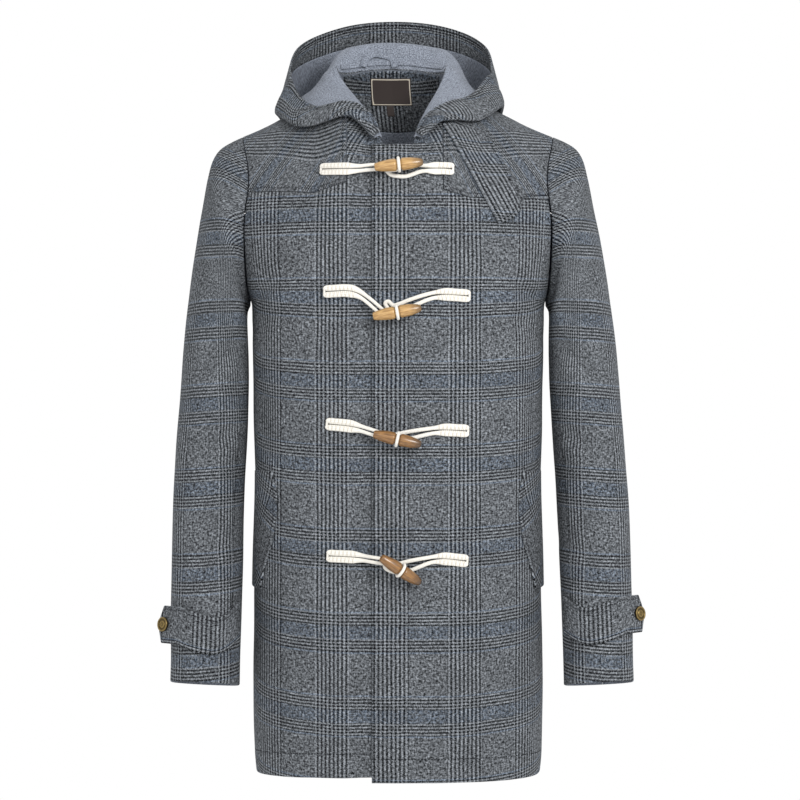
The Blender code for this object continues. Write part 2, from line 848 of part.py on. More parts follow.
HOOD = {
    -1: (
        HoodStation(0.15, (-24, -113, -49), (-30.5, -119, -50), (-22, -115.5, -44)),
        HoodStation(1.0, (-33, -106, -27), (-42, -113, -34), (-31, -104, -22)),
        HoodStation(2.0, (-48, -95, -12), (-56, -108, -21.5), (-49, -96, -5)),
        HoodStation(3.0, (-63, -79, -3), (-75, -100, -20), (-72, -86, 0.5)),
        HoodStation(4.2, (-84, -56, 3), (-107, -89, -29), (-103, -73, -4)),
        HoodStation(5.4, (-104, -22, 10), (-132, -66, -28), (-124, -46, 10)),
        HoodStation(6.3, (-107, 14, 30), (-154, -8, -13), (-138.5, 0, 37)),
        HoodStation(7.1, (-97, 42, 56), (-149, 50, -12), (-145, 42, 64)),
        HoodStation(8.0, (-86, 64, 84), (-141, 108, -32), (-138, 86, 100)),
        HoodStation(9.0, (-71, 80, 105), (-107, 152, -52), (-111, 126, 126)),
        HoodStation(10.0, (-45, 86, 111), (-60, 176, -62), (-65, 155, 146)),
    ),
    1: (
        HoodStation(0.15, (24, -113, -49), (30.5, -119, -50), (22, -115.5, -44)),
        HoodStation(1.0, (31, -106, -30), (42, -113, -38), (30, -105, -28)),
        HoodStation(2.0, (42, -96, -19), (54, -106, -29), (42.5, -94, -18)),
        HoodStation(3.0, (55, -80, -6), (76, -94, -28), (63, -80, -8)),
        HoodStation(4.2, (74, -52, 3), (99, -73, -27), (86, -57, 7)),
        HoodStation(5.2, (88, -20, 14), (120, -40, -17), (102.5, -31, 24)),
        HoodStation(6.2, (94, 14, 30), (131, -4, -6), (118, 10, 49)),
        HoodStation(7.1, (88, 44, 56), (132, 52, -10), (126.5, 46, 62)),
        HoodStation(8.0, (78, 66, 82), (122, 112, -32), (122, 91, 101)),
        HoodStation(9.0, (62, 82, 103), (88, 152, -52), (93, 131, 130)),
        HoodStation(10.0, (34, 87, 110), (40, 176, -62), (45, 157, 148)),
    ),
}
HOOD_MIDDLE = HoodStation(BACK_OF_NECK, (-8, 88, 112), (-10, 183, -66), (-11, 165, 153))
NEAR_STEPS = 7  # from the neck seam over the ridge to the lowest line
FAR_SHARES = (0.24, 0.48, 0.72)  # places on the way from there to the facing
FACING_WIDTH = 30.0
FACING_SHARE = 0.45  # the most of the far wall that the facing takes
HOOD_GAP = 0.9  # between the shell and the lining
HOOD_FOOT = HOOD_SHELL + HOOD_GAP / 2 + 1.2
NEAR_CLEAR, FOLD_CLEAR, FAR_CLEAR = 4.8, 7.8, 10.8
SHOULDER_CLEAR = 2.4  # more room over the shoulders, where the cloth bends most
FINE_STEPS = 16  # of a smooth curve between two of its points
FLAT_STATIONS = 4.5  # stations of the neck before which the hood lies flat
FINE_LINES = (2, 3, *range(4, 18), 18, 19)  # gaps between stations that get a line between
CENTRE_PANEL = (17, 23)  # lines that the centre panel runs between


UNIT_STEPS = (Vector((1, 0, 0)), Vector((0, 1, 0)), Vector((0, 0, 1)))


def torso_gap(point):
    """Distance in millimetres of a point from the torso, and the way off it."""

    def level(x, y, z):
        x -= LEAN * eased(z, LEAN_FROM_Z, LEAN_TO_Z)
        face = IN_FRONT if y < 0 else BEHIND
        across, up = roundness_at(x, face)
        reach = (abs(y) / depth_at(x, z, face)) ** across
        wrap = math.degrees(math.asin(min(1.0, reach) ** 0.5)) / 90
        height = max(0.0, (z - CHEST_Z) / (line_at(x, face, wrap) - CHEST_Z))
        return reach + height**up - 1

    at = Vector(point) / MM
    here = level(*at)
    slope = Vector(
        [level(*(at + step)) - level(*(at - step)) for step in UNIT_STEPS]
    )
    return 2 * here / slope.length, slope.normalized()


def cleared(point, least, most=math.inf):
    """The point, moved until its distance from the torso is between two limits."""
    for _ in range(4):
        gap, way = torso_gap(point)
        point = point + way * (min(max(gap, least), most) - gap) * MM
    return point


def neck_foot(side, station):
    """The foot of the hood's cloth, which stands on the yoke's edge."""
    x, wrap = neck_spot(station)
    spot = wrap_spot(side * x, wrap)
    return spot.point + spot.normal * HOOD_FOOT * MM


def hood_line(side, row):
    """The hood's line at one station, as a smooth list of points from the neck."""
    neck = neck_foot(side, row.neck)
    ridge, bag, edge = (Vector(p) * MM for p in (row.ridge, row.bag, row.edge))
    away = bag - Vector((-4.0, 10.0, 0.0)) * MM
    away.z = 0.0
    away.normalize()
    most = NEAR_CLEAR + 0.6 if row.neck < FLAT_STATIONS else math.inf
    least = NEAR_CLEAR + SHOULDER_CLEAR * eased(row.neck, FLAT_STATIONS, 5.2)
    ridge = cleared(ridge, least, most)
    bag = cleared(bag, FOLD_CLEAR)
    edge = cleared(edge, FAR_CLEAR)
    near_wall = ridge.lerp(bag, 0.5) - away * (ridge - bag).length * 0.10
    far_wall = bag.lerp(edge, 0.45) + away * (edge - bag).length * 0.13
    near_wall = cleared(near_wall, least, most)
    far_wall = cleared(far_wall, FAR_CLEAR)
    fine = fine_line([neck, ridge, near_wall, bag, far_wall, edge])
    fold = 3 * FINE_STEPS
    near = picked(fine[: fold + 1], [k / NEAR_STEPS for k in range(NEAR_STEPS + 1)])
    length = (edge - bag).length / MM
    rim = 1 - min(FACING_SHARE, FACING_WIDTH / length)
    far = picked(fine[fold:], [share * rim for share in FAR_SHARES] + [rim, 1.0])
    near = [near[0], *(cleared(p, least, most) for p in near[1:-1]), near[-1]]
    return near + [cleared(p, FAR_CLEAR) for p in far]


def fine_line(knots):
    """A smooth curve through some points, at many small steps."""
    ends = [knots[0] * 2 - knots[1], *knots, knots[-1] * 2 - knots[-2]]
    fine = []
    for a, b, c, d in zip(ends, ends[1:], ends[2:], ends[3:]):
        for k in range(FINE_STEPS):
            t = k / FINE_STEPS
            bow = (a * 2 - b * 5 + c * 4 - d) * t * t
            turn = (b * 3 - a - c * 3 + d) * t**3
            fine.append((b * 2 + (c - a) * t + bow + turn) * 0.5)
    return [*fine, knots[-1]]


def picked(line, shares):
    """Points at some shares of a line's length."""
    lengths = [0.0]
    for a, b in zip(line, line[1:]):
        lengths.append(lengths[-1] + (b - a).length)
    points = []
    for share in shares:
        wanted = min(lengths[-1] * share, lengths[-1])
        i = max(j for j in range(len(line)) if lengths[j] <= wanted + 1e-12)
        i = min(i, len(line) - 2)
        t = (wanted - lengths[i]) / max(lengths[i + 1] - lengths[i], 1e-9)
        points.append(line[i].lerp(line[i + 1], t))
    return points


def smooth_line(knots, steps):
    """A smooth curve through some points, at even lengths."""
    return picked(fine_line(knots), [k / steps for k in range(steps + 1)])


def hood_grid():
    """All of the hood's lines, from the front end at -X round to the one at +X."""
    lines = [hood_line(-1, row) for row in HOOD[-1]]
    lines.append(hood_line(-1, HOOD_MIDDLE))
    lines += [hood_line(1, row) for row in reversed(HOOD[1])]
    grid = []
    for i, line in enumerate(lines):
        grid.append(line)
        if i in FINE_LINES:
            four = zip(lines[i - 1], line, lines[i + 1], lines[i + 2])
            grid.append([(b + c) * 0.5625 - (a + d) * 0.0625 for a, b, c, d in four])
    return grid


def direction(line, i):
    """The way a line of points runs at one of them, halving its turn there."""
    before = (line[i] - line[max(i - 1, 0)]).normalized()
    return before + (line[min(i + 1, len(line) - 1)] - line[i]).normalized()


def grid_normals(grid):
    """Unit normals of a grid of points, pointing out of the hood's outer side."""
    normals = []
    for i, line in enumerate(grid):
        row = []
        for j in range(len(line)):
            column = [other[j] for other in grid]
            row.append(direction(line, j).cross(direction(column, i)).normalized())
        normals.append(row)
    return normals


def offset_grid(grid, normals, lift):
    return [
        [point + normal * lift * MM for point, normal in zip(line, ups)]
        for line, ups in zip(grid, normals)
    ]


def build_hood(shell_finish, lining_finish):
    """The fallen hood: three outer panels, the lining and the facing of its edge."""
    grid = hood_grid()
    normals = grid_normals(grid)
    half_seam = HOOD_GAP / 2
    outer = offset_grid(grid, normals, half_seam + HOOD_SHELL)
    inner = offset_grid(grid, normals, half_seam)
    first, last = CENTRE_PANEL
    end = len(grid) - 1
    panels = {"hood_right": (0, first), "hood_centre": CENTRE_PANEL, "hood_left": (last, end)}
    for name, (start, stop) in panels.items():
        faces = []
        for layer in (outer, inner):
            strip = [list(line) for line in layer[start : stop + 1]]
            if start:
                strip[0] = pulled(strip[0], strip[1])
            if stop < end:
                strip[-1] = pulled(strip[-1], strip[-2])
            faces.append(strip)
        add_wall(name, *faces, shell_finish)
    lining, facing = [], []
    for lift in (-half_seam, -half_seam - HOOD_LINING):
        layer = offset_grid(grid, normals, lift)
        lining.append([[*line[:-2], *pulled([line[-2]], [line[-3]])] for line in layer])
        facing.append([[*pulled([line[-2]], [line[-1]]), line[-1]] for line in layer])
    add_wall("hood_lining", *lining, lining_finish)
    add_wall("hood_facing", *facing, shell_finish)


def pulled(line, towards):
    """A line drawn back from a seam by half of its gap."""
    return [a + (b - a).normalized() * SEAM / 2 * MM for a, b in zip(line, towards)]


# ---------------------------------------------------------------- inside the neck


FACING_LOW_Z = -12.0
INSIDE = CLOTH + 1.4  # how far inside the torso's surface the facing lies


def build_neck_inside(check, lining, leather, loop):
    """The back facing, the lining below it, the label, its tab and the hanging loop."""
    count = 12
    facing, below = [], []
    for k in range(7):
        row = []
        for j in range(count + 1):
            x = blend(-66, 66, j / count)
            top = neck_top_z(x) - 1.0
            low = FACING_LOW_Z + 10 * (x / 66) ** 2
            row.append(flat_spot(x, blend(top, low, k / 6), BEHIND))
        facing.append(row)
    for k in range(4):
        row = []
        for j in range(count + 1):
            x = blend(-58, 58, j / count)
            top = FACING_LOW_Z + 10 * (x / 66) ** 2 - SEAM
            row.append(flat_spot(x, blend(top, -75, k / 3), BEHIND))
        below.append(row)
    add_sheet("back_facing", facing, FACING, check, lift=-INSIDE)
    add_sheet("back_lining", below, FACING, lining, lift=-INSIDE)
    label_lift = -INSIDE - FACING - 2 * SEAM
    label = plate_spots(-1.5, 58.8, 24, 57, rows=4, wide=4)
    add_sheet("label", label, 1.0, leather, lift=label_lift)
    tab = plate_spots(-4.5, 23.4, 10, 10.5, rows=2, wide=2)
    add_sheet("size_tab", tab, 0.8, leather, lift=label_lift)
    build_loop(loop)


def neck_top_z(x):
    """Height of the back half of the neck seam at x, before its lean."""
    low, high = 7.0, float(BACK_OF_NECK)
    for _ in range(40):
        middle = (low + high) / 2
        if NECK_X(middle) > abs(x):
            low = middle
        else:
            high = middle
    return wrapped(x, neck_spot(low)[1]).z / MM


def plate_spots(centre_x, top, bottom, width, rows, wide):
    return [
        [
            flat_spot(centre_x + width * (j / wide - 0.5), blend(top, bottom, k / rows), BEHIND)
            for j in range(wide + 1)
        ]
        for k in range(rows + 1)
    ]


LOOP_ARCH = ((-47, 69), (-44, 80), (-34, 88), (-20, 87), (-8, 82), (-4, 69))
LOOP_HALF_WIDTH = 4.5
LOOP_THICK = 1.6
LOOP_OFF = 7.8  # how far its face stands before the middle of the hood's cloth


def build_loop(finish):
    """The hanging loop, a narrow strip that arches in front of the hood's foot."""
    grid = hood_grid()
    line = smooth_line([Vector((x, 0.0, z)) * MM for x, z in LOOP_ARCH], 14)
    outer, inner = [[], []], [[], []]
    for i, point in enumerate(line):
        along = line[min(i + 1, len(line) - 1)] - line[max(i - 1, 0)]
        across = Vector((-along.z, 0.0, along.x)).normalized() * LOOP_HALF_WIDTH * MM
        for row, sign in enumerate((1, -1)):
            rim = point + across * sign
            rim.y = stand_depth(grid, rim.x, rim.z) - LOOP_OFF * MM
            outer[row].append(rim)
            inner[row].append(rim + Vector((0, LOOP_THICK, 0)) * MM)
    add_wall("hang_loop", outer, inner, finish)


def stand_depth(grid, x, z):
    """Depth of the hood's standing part behind the neck, at x and height z."""
    lines = [line for line in grid[CENTRE_PANEL[0] - 1 : CENTRE_PANEL[1] + 2]]
    depths = []
    for line in lines:
        low, high = next((a, b) for a, b in zip(line, line[1:]) if b.z >= z or b is line[3])
        t = (z - low.z) / (high.z - low.z)
        depths.append(low.lerp(high, min(1.0, t)))
    for a, b in zip(depths, depths[1:]):
        if a.x <= x <= b.x:
            return blend(a.y, b.y, (x - a.x) / (b.x - a.x))
    return depths[0].y


COLLAR_LINES = (14, 26)  # the hood's lines that the band runs between
COLLAR_HEIGHTS = (1.0, 6.5, 12.0)
COLLAR_THICK = 1.2


def build_collar_band(finish):
    """The plain band round the foot of the hood's standing part, inside the neck."""
    grid = hood_grid()
    normals = grid_normals(grid)
    near = -HOOD_GAP / 2 - HOOD_LINING - 4.5 * SEAM
    faces = []
    for lift in (near, near - COLLAR_THICK):
        layer = offset_grid(grid, normals, lift)
        strip = []
        for line in layer[COLLAR_LINES[0] : COLLAR_LINES[1] + 1]:
            rise = (line[1] - line[0]).normalized()
            strip.append([line[0] + rise * t * MM for t in COLLAR_HEIGHTS])
        faces.append(strip)
    add_wall("collar_band", *faces, finish)


# ---------------------------------------------------------------- pieces on the fronts


STRAP_SIDES = (  # x and z of each long side's top corner, under the hood, and end corner
    ((57.5, -33), (127, -160)),
    ((111, -37), (159, -127)),
)
STRAP_POINT = 8.0  # how far its middle reaches past its end corners
STRAP_LIFT = 1.7  # its clearance from the front and the yoke


def build_strap(finish):
    """The throat strap, hanging from under the hood down the wearer's left front."""
    rows, wide = 9, 4
    spots = []
    for k in range(rows + 1):
        t = k / rows
        left, right = (Vector(foot).lerp(Vector(end), t) for foot, end in STRAP_SIDES)
        row = []
        for j in range(wide + 1):
            s = j / wide
            x, z = left.lerp(right, s)
            past = STRAP_POINT * 4 * s * (1 - s) * eased(t, 0.75, 1.0) * math.sqrt(0.5)
            row.append(flat_spot(x + past, z - past, IN_FRONT))
        spots.append(row)
    add_sheet("throat_strap", spots, DOUBLED_CLOTH, finish, lift=STRAP_LIFT + DOUBLED_CLOTH)


class WeltSpot(NamedTuple):
    """The pocket welt at one height: turns of its front edge and of its back edge."""

    z: float
    front: float
    back: float


WELT = (
    WeltSpot(z=-474, front=36.7, back=15),
    WeltSpot(z=-512, front=40, back=12),
    WeltSpot(z=-560, front=37, back=8),
    WeltSpot(z=-590, front=31.5, back=5),
    WeltSpot(z=-627, front=25, back=3),
)
WELT_THICK = 2.2
WELT_LIFT = 0.95  # its clearance from the front


def build_welt(side, finish):
    """A slanted pocket welt near the side seam."""
    front, back = columns(sorted(WELT), "z", "front", "back")
    spots = []
    for k in range(7):
        z = blend(-474, -627, k / 6)
        row = []
        for j in range(6):
            turn = blend(front(z), back(z), j / 5)
            row.append(around_spot(turn if side == 1 else 180 - turn, z, IN_FRONT))
        spots.append(row)
    name = "pocket_welt_left" if side == 1 else "pocket_welt_right"
    add_sheet(name, spots, WELT_THICK, finish, lift=WELT_LIFT + WELT_THICK)


# ---------------------------------------------------------------- cuffs


TAB_HALF_HEIGHT = 24.0
TAB_INNER_TURN, TAB_LEAVES_TURN = 158.0, 52.0
TAB_FREE = 40.0  # length of its end that stands clear of the sleeve
TAB_BUTTON_FROM_TIP = 14.0
TAB_RING = {-1: (12.15, 12.45, 12.35), 1: (12.05, 12.30, 12.20)}
BUTTON = ((0.0, 7.5), (1.2, 9.5), (3.4, 9.5), (4.2, 7.4), (3.6, 6.4))


def build_cuff(side, cloth, brass):
    """A cuff tab round the front of the sleeve, with its free end and button."""
    rings = Smooth((0.0, 0.5, 1.0), TAB_RING[side])
    count, rows = 12, 4
    outer, inner, middles = [], [], []

    for j in range(count + 1):
        t = j / count
        turn = blend(TAB_INNER_TURN, TAB_LEAVES_TURN, t)
        point, normal = sleeve_frame(side, turn, rings(t))
        ahead = sleeve_point(side, turn - 1, rings(t))
        way = (ahead - point).normalized()
        middles.append((point, normal, way))
    point, normal, way = middles[-1]
    for step in (0.5, 1.0):
        middles.append((point + way * TAB_FREE * step * MM, normal, way))
    for i, (point, normal, way) in enumerate(middles):
        drop = normal.cross(way).normalized()
        if drop.z > 0:
            drop = -drop
        tip = i == len(middles) - 1
        lines = ([], [])
        for k in range(rows + 1):
            s = 2 * k / rows - 1
            back = -9.0 * abs(s) if tip else 0.0
            place = point + drop * s * TAB_HALF_HEIGHT * MM + way * back * MM
            for line, lift in zip(lines, (SEAM + DOUBLED_CLOTH, SEAM)):
                line.append(place + normal * lift * MM)
        outer.append(lines[0])
        inner.append(lines[1])
    name = "left" if side == 1 else "right"
    add_wall(f"cuff_tab_{name}", outer, inner, cloth)
    point, normal, way = middles[-1]
    seat = point - way * TAB_BUTTON_FROM_TIP * MM
    seat += normal * (2 * SEAM + DOUBLED_CLOTH) * MM
    add_turned(f"cuff_button_{name}", BUTTON, seat, normal, brass, sides=16)


# ---------------------------------------------------------------- toggles and cords


class Closure(NamedTuple):
    """One toggle with its cords: places on the front, as seen."""

    toggle: tuple  # x, z of its middle
    tilt: float  # degrees, end at +X up
    yaw: float  # degrees, end at -X towards the viewer
    clear: float  # height of its axis above the cloth
    left_pad: tuple  # outer x, z and inner x, z of the stitched end at -X
    right_pad: tuple
    loop_tip: tuple  # x, z of the loop's closed end, under the toggle
    loop_spread: float  # half distance between its two strands at the toggle


CLOSURES = (
    Closure(
        toggle=(0.6, -93), tilt=6, yaw=0, clear=18.6,
        left_pad=(-96.6, -91, -59, -92), right_pad=(69, -92, 50, -91.5),
        loop_tip=(-14, -92), loop_spread=10.0,
    ),
    Closure(
        toggle=(-0.9, -273), tilt=10, yaw=0, clear=18.6,
        left_pad=(-92, -246.5, -52.7, -248), right_pad=(89.7, -252, 46, -251.5),
        loop_tip=(-13, -262), loop_spread=4.5,
    ),
    Closure(
        toggle=(-0.6, -431.5), tilt=-12.5, yaw=0, clear=18.6,
        left_pad=(-89, -413, -54, -417), right_pad=(88, -422, 49, -421),
        loop_tip=(-14, -428), loop_spread=4.5,
    ),
    Closure(
        toggle=(3.7, -596), tilt=-34, yaw=14, clear=20.5,
        left_pad=(-88, -579.5, -51.5, -581), right_pad=(87, -586, 48, -583),
        loop_tip=(-14, -592), loop_spread=6.0,
    ),
)
TOGGLE_PROFILE = (
    (-30.5, 3.4),
    (-30.0, 4.6),
    (-22.0, 6.4),
    (-11.0, 7.7),
    (-3.9, 7.9),
    (-3.0, 6.2),
    (3.0, 6.2),
    (3.9, 7.9),
    (11.0, 7.7),
    (22.0, 6.3),
    (29.0, 4.4),
    (30.5, 2.6),
)
GROOVE = 6.2
PAD_HALF = (3.9, 2.1)  # half width and height of a strand where it is stitched down
PAD_SPREAD = 4.1  # of the two strands from their middle line
CORD_RADIUS = 2.5
WRAP_RADIUS = 1.9  # of the cord that holds the toggle
WRAP_SPREAD = 3.2
PAD_SHARES = (0.0, 0.025)
LOOP_SHARES = (0.0, 0.025, 0.28, 0.42, 1.0)  # end, pad, end of the pad, round cord, tip
TOGGLE_CORD_SHARES = (0.0, 0.03, 0.4, 0.58, 1.0)
STRAND_SHARES = (0.14, 0.28, 0.4, 0.5, 0.6, 0.72, 0.84, 0.93)


def cloth_point(x, z, lift):
    """A point above the front, over the lapping front's surface."""
    return on_torso(x, z, IN_FRONT, lift)


def front_normal(x, z):
    return (on_torso(x, z, IN_FRONT, 10.0) - on_torso(x, z, IN_FRONT)).normalized()


def build_toggle(number, row, wood):
    x, z = row.toggle
    centre = cloth_point(x, z, row.clear)
    tilt, yaw = math.radians(row.tilt), math.radians(row.yaw)
    flat = math.cos(yaw)
    axis = Vector((math.cos(tilt) * flat, math.sin(yaw), math.sin(tilt) * flat))
    add_turned(f"toggle_{number}", TOGGLE_PROFILE, centre, axis.normalized(), wood)
    return centre, axis.normalized()


def build_loop_cord(number, row, cord):
    """The loop at +X: a ring of cord, stitched at its outer end and open at the toggle."""
    outer_x, outer_z, inner_x, inner_z = row.right_pad
    x, z = row.toggle
    tip_x, tip_z = row.loop_tip
    line = fine_line(
        [
            Vector((outer_x, 0, outer_z)),
            Vector((inner_x, 0, inner_z)),
            Vector((x, 0, (tip_z + z) / 2)),
            Vector((tip_x, 0, tip_z)),
        ]
    )
    width, height = PAD_HALF
    spread = Smooth(
        (0.0, 0.025, 0.28, 0.42, 0.75, 0.94, 1.0),
        (2.0, PAD_SPREAD, PAD_SPREAD, 3.3, row.loop_spread, row.loop_spread * 0.75, 3.0),
    )
    wide = Smooth(LOOP_SHARES, (1.6, width - 0.2, width, CORD_RADIUS, CORD_RADIUS))
    flat = Smooth(LOOP_SHARES, (1.6, height, height, CORD_RADIUS, CORD_RADIUS))
    there, back = strands(line, (*PAD_SHARES, *STRAND_SHARES, 1.0), spread, wide, flat, None)
    end, before = Vector((tip_x, 0, tip_z)), line[-2]
    end += (end - before).normalized() * 2.6
    lift = SEAM + CORD_RADIUS
    tip = (cloth_point(end.x, end.z, lift), front_normal(end.x, end.z), CORD_RADIUS, CORD_RADIUS)
    add_tube(f"loop_cord_{number}", *zip(*there, tip, *back[::-1]), cord)


def build_toggle_cord(number, row, centre, axis, cord):
    """The cord at -X: stitched at its outer end, and round the toggle's groove."""
    outer_x, outer_z, inner_x, inner_z = row.left_pad
    across = axis.cross(front_normal(*row.toggle)).normalized()
    if across.z < 0:
        across = -across
    up = axis.cross(across).normalized()
    if up.y > 0:
        up = -up
    below = TOGGLE_PROFILE[4][1] + WRAP_RADIUS + 2 * SEAM
    near = (centre - axis * 15 * MM - up * below * MM) / MM
    line = fine_line(
        [
            Vector((outer_x, 0, outer_z)),
            Vector((inner_x, 0, inner_z)),
            Vector((near.x, 0, near.z)),
        ]
    )
    width, height = PAD_HALF
    high = row.clear - below - SEAM - WRAP_RADIUS + math.sin(math.radians(row.yaw)) * 15
    shares, thick = TOGGLE_CORD_SHARES, WRAP_RADIUS + 0.5
    spread = Smooth(shares, (2.0, PAD_SPREAD, PAD_SPREAD, 3.0, WRAP_SPREAD))
    wide = Smooth(shares, (1.6, width - 0.2, width, thick, WRAP_RADIUS))
    flat = Smooth(shares, (1.6, height, height, thick, WRAP_RADIUS))
    rise = Smooth((0.0, 0.5, 0.85, 1.0), (0.0, 0.0, high, high))
    there, back = strands(line, (*PAD_SHARES, *STRAND_SHARES), spread, wide, flat, rise)
    thin = (WRAP_RADIUS, WRAP_RADIUS)
    for strand, sign in ((there, 1), (back, -1)):
        for along in (13, 8, 4.2):
            place = centre - axis * along * MM + across * sign * WRAP_SPREAD * MM
            strand.append((place - up * below * MM, up, *thin))
    wrap = GROOVE + WRAP_RADIUS + SEAM
    arch = []
    for degrees in (-66, -36, -4, 28, 59, 90, 121, 152, 184, 216, 246):
        angle = math.radians(degrees)
        spoke = across * math.cos(angle) + up * math.sin(angle)
        arch.append((centre + spoke * wrap * MM, -spoke, *thin))
    add_tube(f"toggle_cord_{number}", *zip(*there, *arch, *back[::-1]), cord)


def strands(line, shares, spread, wide, flat, rise):
    """Two strands of cord either side of a line on the cloth, at shares of its length.

    Each entry is a place, the way up from the cloth, and half a width and height.
    """
    there, back = [], []
    points = picked(line, shares)
    for t, point in zip(shares, points):
        way = picked(line, (min(t + 0.02, 1.0),))[0] - picked(line, (max(t - 0.02, 0.0),))[0]
        side = Vector((-way.z, 0, way.x)).normalized() * spread(t)
        if side.z < 0:
            side = -side
        lift = SEAM + flat(t) + (rise(t) if rise else 0.0)
        up = front_normal(point.x, point.z)
        for strand, place in ((there, point + side), (back, point - side)):
            strand.append((cloth_point(place.x, place.z, lift), up, wide(t), flat(t)))
    return there, back


def main():
    for old in list(bpy.data.objects):
        bpy.data.objects.remove(old, do_unlink=True)
    check = material("checked_wool", (0.085, 0.095, 0.11), 0.95)
    lining = material("brushed_lining", (0.31, 0.35, 0.43), 0.95)
    leather = material("brown_label", (0.045, 0.028, 0.022), 0.6)
    cotton = material("cotton_cord", (0.82, 0.79, 0.74), 0.9)
    light_wood = material("light_toggle_wood", (0.42, 0.22, 0.08), 0.35)
    dark_wood = material("dark_toggle_wood", (0.18, 0.075, 0.025), 0.35)
    brass = material("aged_brass", (0.28, 0.19, 0.07), 0.45, 1.0)
    for side in (-1, 1):
        build_front(side, check)
        build_sleeve(side, check)
        build_welt(side, check)
        build_cuff(side, check, brass)
    build_back(check)
    build_yoke(check)
    build_hood(check, lining)
    build_neck_inside(check, lining, leather, lining)
    build_collar_band(lining)
    build_strap(check)
    for number, row in enumerate(CLOSURES, 1):
        wood = light_wood if number < 3 else dark_wood
        centre, axis = build_toggle(number, row, wood)
        build_toggle_cord(number, row, centre, axis, cotton)
        build_loop_cord(number, row, cotton)


main()
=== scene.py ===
"""The looks of a hooded toggle coat in checked wool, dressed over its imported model.

The coat faces -Y, its wearer's left is at +X and +Z is up. Tables of sizes are in
millimetres, as a cutter writes them, and meshes are in metres. Each cloth piece is a
fine grid laid on the surface that its solid was cut from, with creases, rolled edges
and a map of its own cut, so that the woven check and the stitching follow the cloth.
"""

from __future__ import annotations

import logging
import math
from dataclasses import dataclass
from enum import Enum
from typing import NamedTuple, Sequence

import bmesh
import bpy
import numpy as np
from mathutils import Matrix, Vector

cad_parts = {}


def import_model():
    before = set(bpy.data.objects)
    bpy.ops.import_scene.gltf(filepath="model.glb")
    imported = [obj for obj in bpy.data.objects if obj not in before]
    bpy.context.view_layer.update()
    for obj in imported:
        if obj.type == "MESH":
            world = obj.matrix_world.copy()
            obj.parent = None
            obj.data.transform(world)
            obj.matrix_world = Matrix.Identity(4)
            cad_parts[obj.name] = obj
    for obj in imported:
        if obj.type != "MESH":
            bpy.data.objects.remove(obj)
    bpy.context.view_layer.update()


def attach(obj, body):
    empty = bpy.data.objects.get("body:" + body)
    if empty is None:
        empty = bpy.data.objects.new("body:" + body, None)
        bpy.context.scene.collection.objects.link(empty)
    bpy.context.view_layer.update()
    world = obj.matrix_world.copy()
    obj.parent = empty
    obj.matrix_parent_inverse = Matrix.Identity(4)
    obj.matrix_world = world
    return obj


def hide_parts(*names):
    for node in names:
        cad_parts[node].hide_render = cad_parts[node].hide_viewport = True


LOG = logging.getLogger("coat")
MM = 0.001
BODY = "root"

# Cloth and seams, in millimetres
CLOTH = 2.5
HOOD_SHELL = 1.8
HOOD_LINING = 1.5
FACING = 1.5
SEAM = 0.3
DOUBLED_CLOTH = 3.5
WEAVE_GRID, FINE_GRID = 5.0, 4.0  # spacing of a panel's points
ROLL = 2.4  # width over which a free cloth edge rolls under
PRESSED = 1.2  # and over which the edge at a pressed seam does
EDGE_POINTS = (0.0, 0.5, 1.2, ROLL)  # distances from an edge at which a panel has points
EDGE_WALL = 0.5  # height of the edge that a rolled side keeps
SHARP_TURN = math.radians(48)  # faces that meet at more than this keep a sharp edge
WELD = 1e-6  # metres between points that are joined

# Front closing: the wearer's left front laps over the right one
LAP_EDGE_X = -33.0
UNDER_EDGE_X = 30.0
LAP_RECESS = CLOTH + 2.0
YOKE_INNER_X = {-1: 66.0, 1: 58.0}
CHEST_Z = -258.0
UNDERARM_Z = -235.0  # a row of points runs here, where the underarm starts to curve
CORNER = 2.6  # exponent of the body's rounded section
NECK_RISE, NECK_RISE_POWER = 0.12, 1.3
LEAN, LEAN_FROM_Z, LEAN_TO_Z = -9.0, -45.0, 60.0
IN_FRONT, BEHIND = -1, 1
COAT_MIDDLE = (0.0, 0.0, -0.3)
TURNED = "turned"  # a turned piece's own coordinates, X along its axis


class Slot(Enum):
    """The record's material slots."""

    WOOL = "checked_wool"
    LINING = "brushed_lining"
    LABEL = "brown_label"
    CORD = "cotton_cord"
    LIGHT_WOOD = "light_toggle_wood"
    DARK_WOOD = "dark_toggle_wood"
    BRASS = "aged_brass"


class Hand(Enum):
    """A side of the coat, by its sign along X and its wearer's hand."""

    RIGHT = -1
    LEFT = 1

    @property
    def word(self) -> str:
        """The side's name in node names."""
        return self.name.lower()


# ------------------------------------------------------------------ numbers and curves


class Curve:
    """A smooth curve through a table's rows that doesn't swing past its values."""

    def __init__(self, keys: Sequence[float], values: Sequence[float]) -> None:
        """Work out the slope at each row.

        Args:
            keys: where the rows are, rising.
            values: the value at each row.
        """
        self.keys, self.values = np.asarray(keys, float), np.asarray(values, float)
        rises = np.diff(self.values) / np.diff(self.keys)
        left, right = rises[:-1], rises[1:]
        same_way = left * right > 0
        inner = 2 * left * right / np.where(same_way, left + right, 1.0)
        self.slopes = np.concatenate(([rises[0]], np.where(same_way, inner, 0.0), [rises[-1]]))

    def __call__(self, at: np.ndarray | float) -> np.ndarray:
        """Values at some places, level past the first and last row."""
        i = np.clip(np.searchsorted(self.keys, at, side="right") - 1, 0, len(self.keys) - 2)
        step = self.keys[i + 1] - self.keys[i]
        t = np.clip((at - self.keys[i]) / step, 0.0, 1.0)
        rise = self.values[i + 1] - self.values[i]
        start, end = self.slopes[i] * step, self.slopes[i + 1] * step
        bow = t * t * (3 * rise - 2 * start - end)
        return self.values[i] + t * start + bow + t**3 * (start + end - 2 * rise)


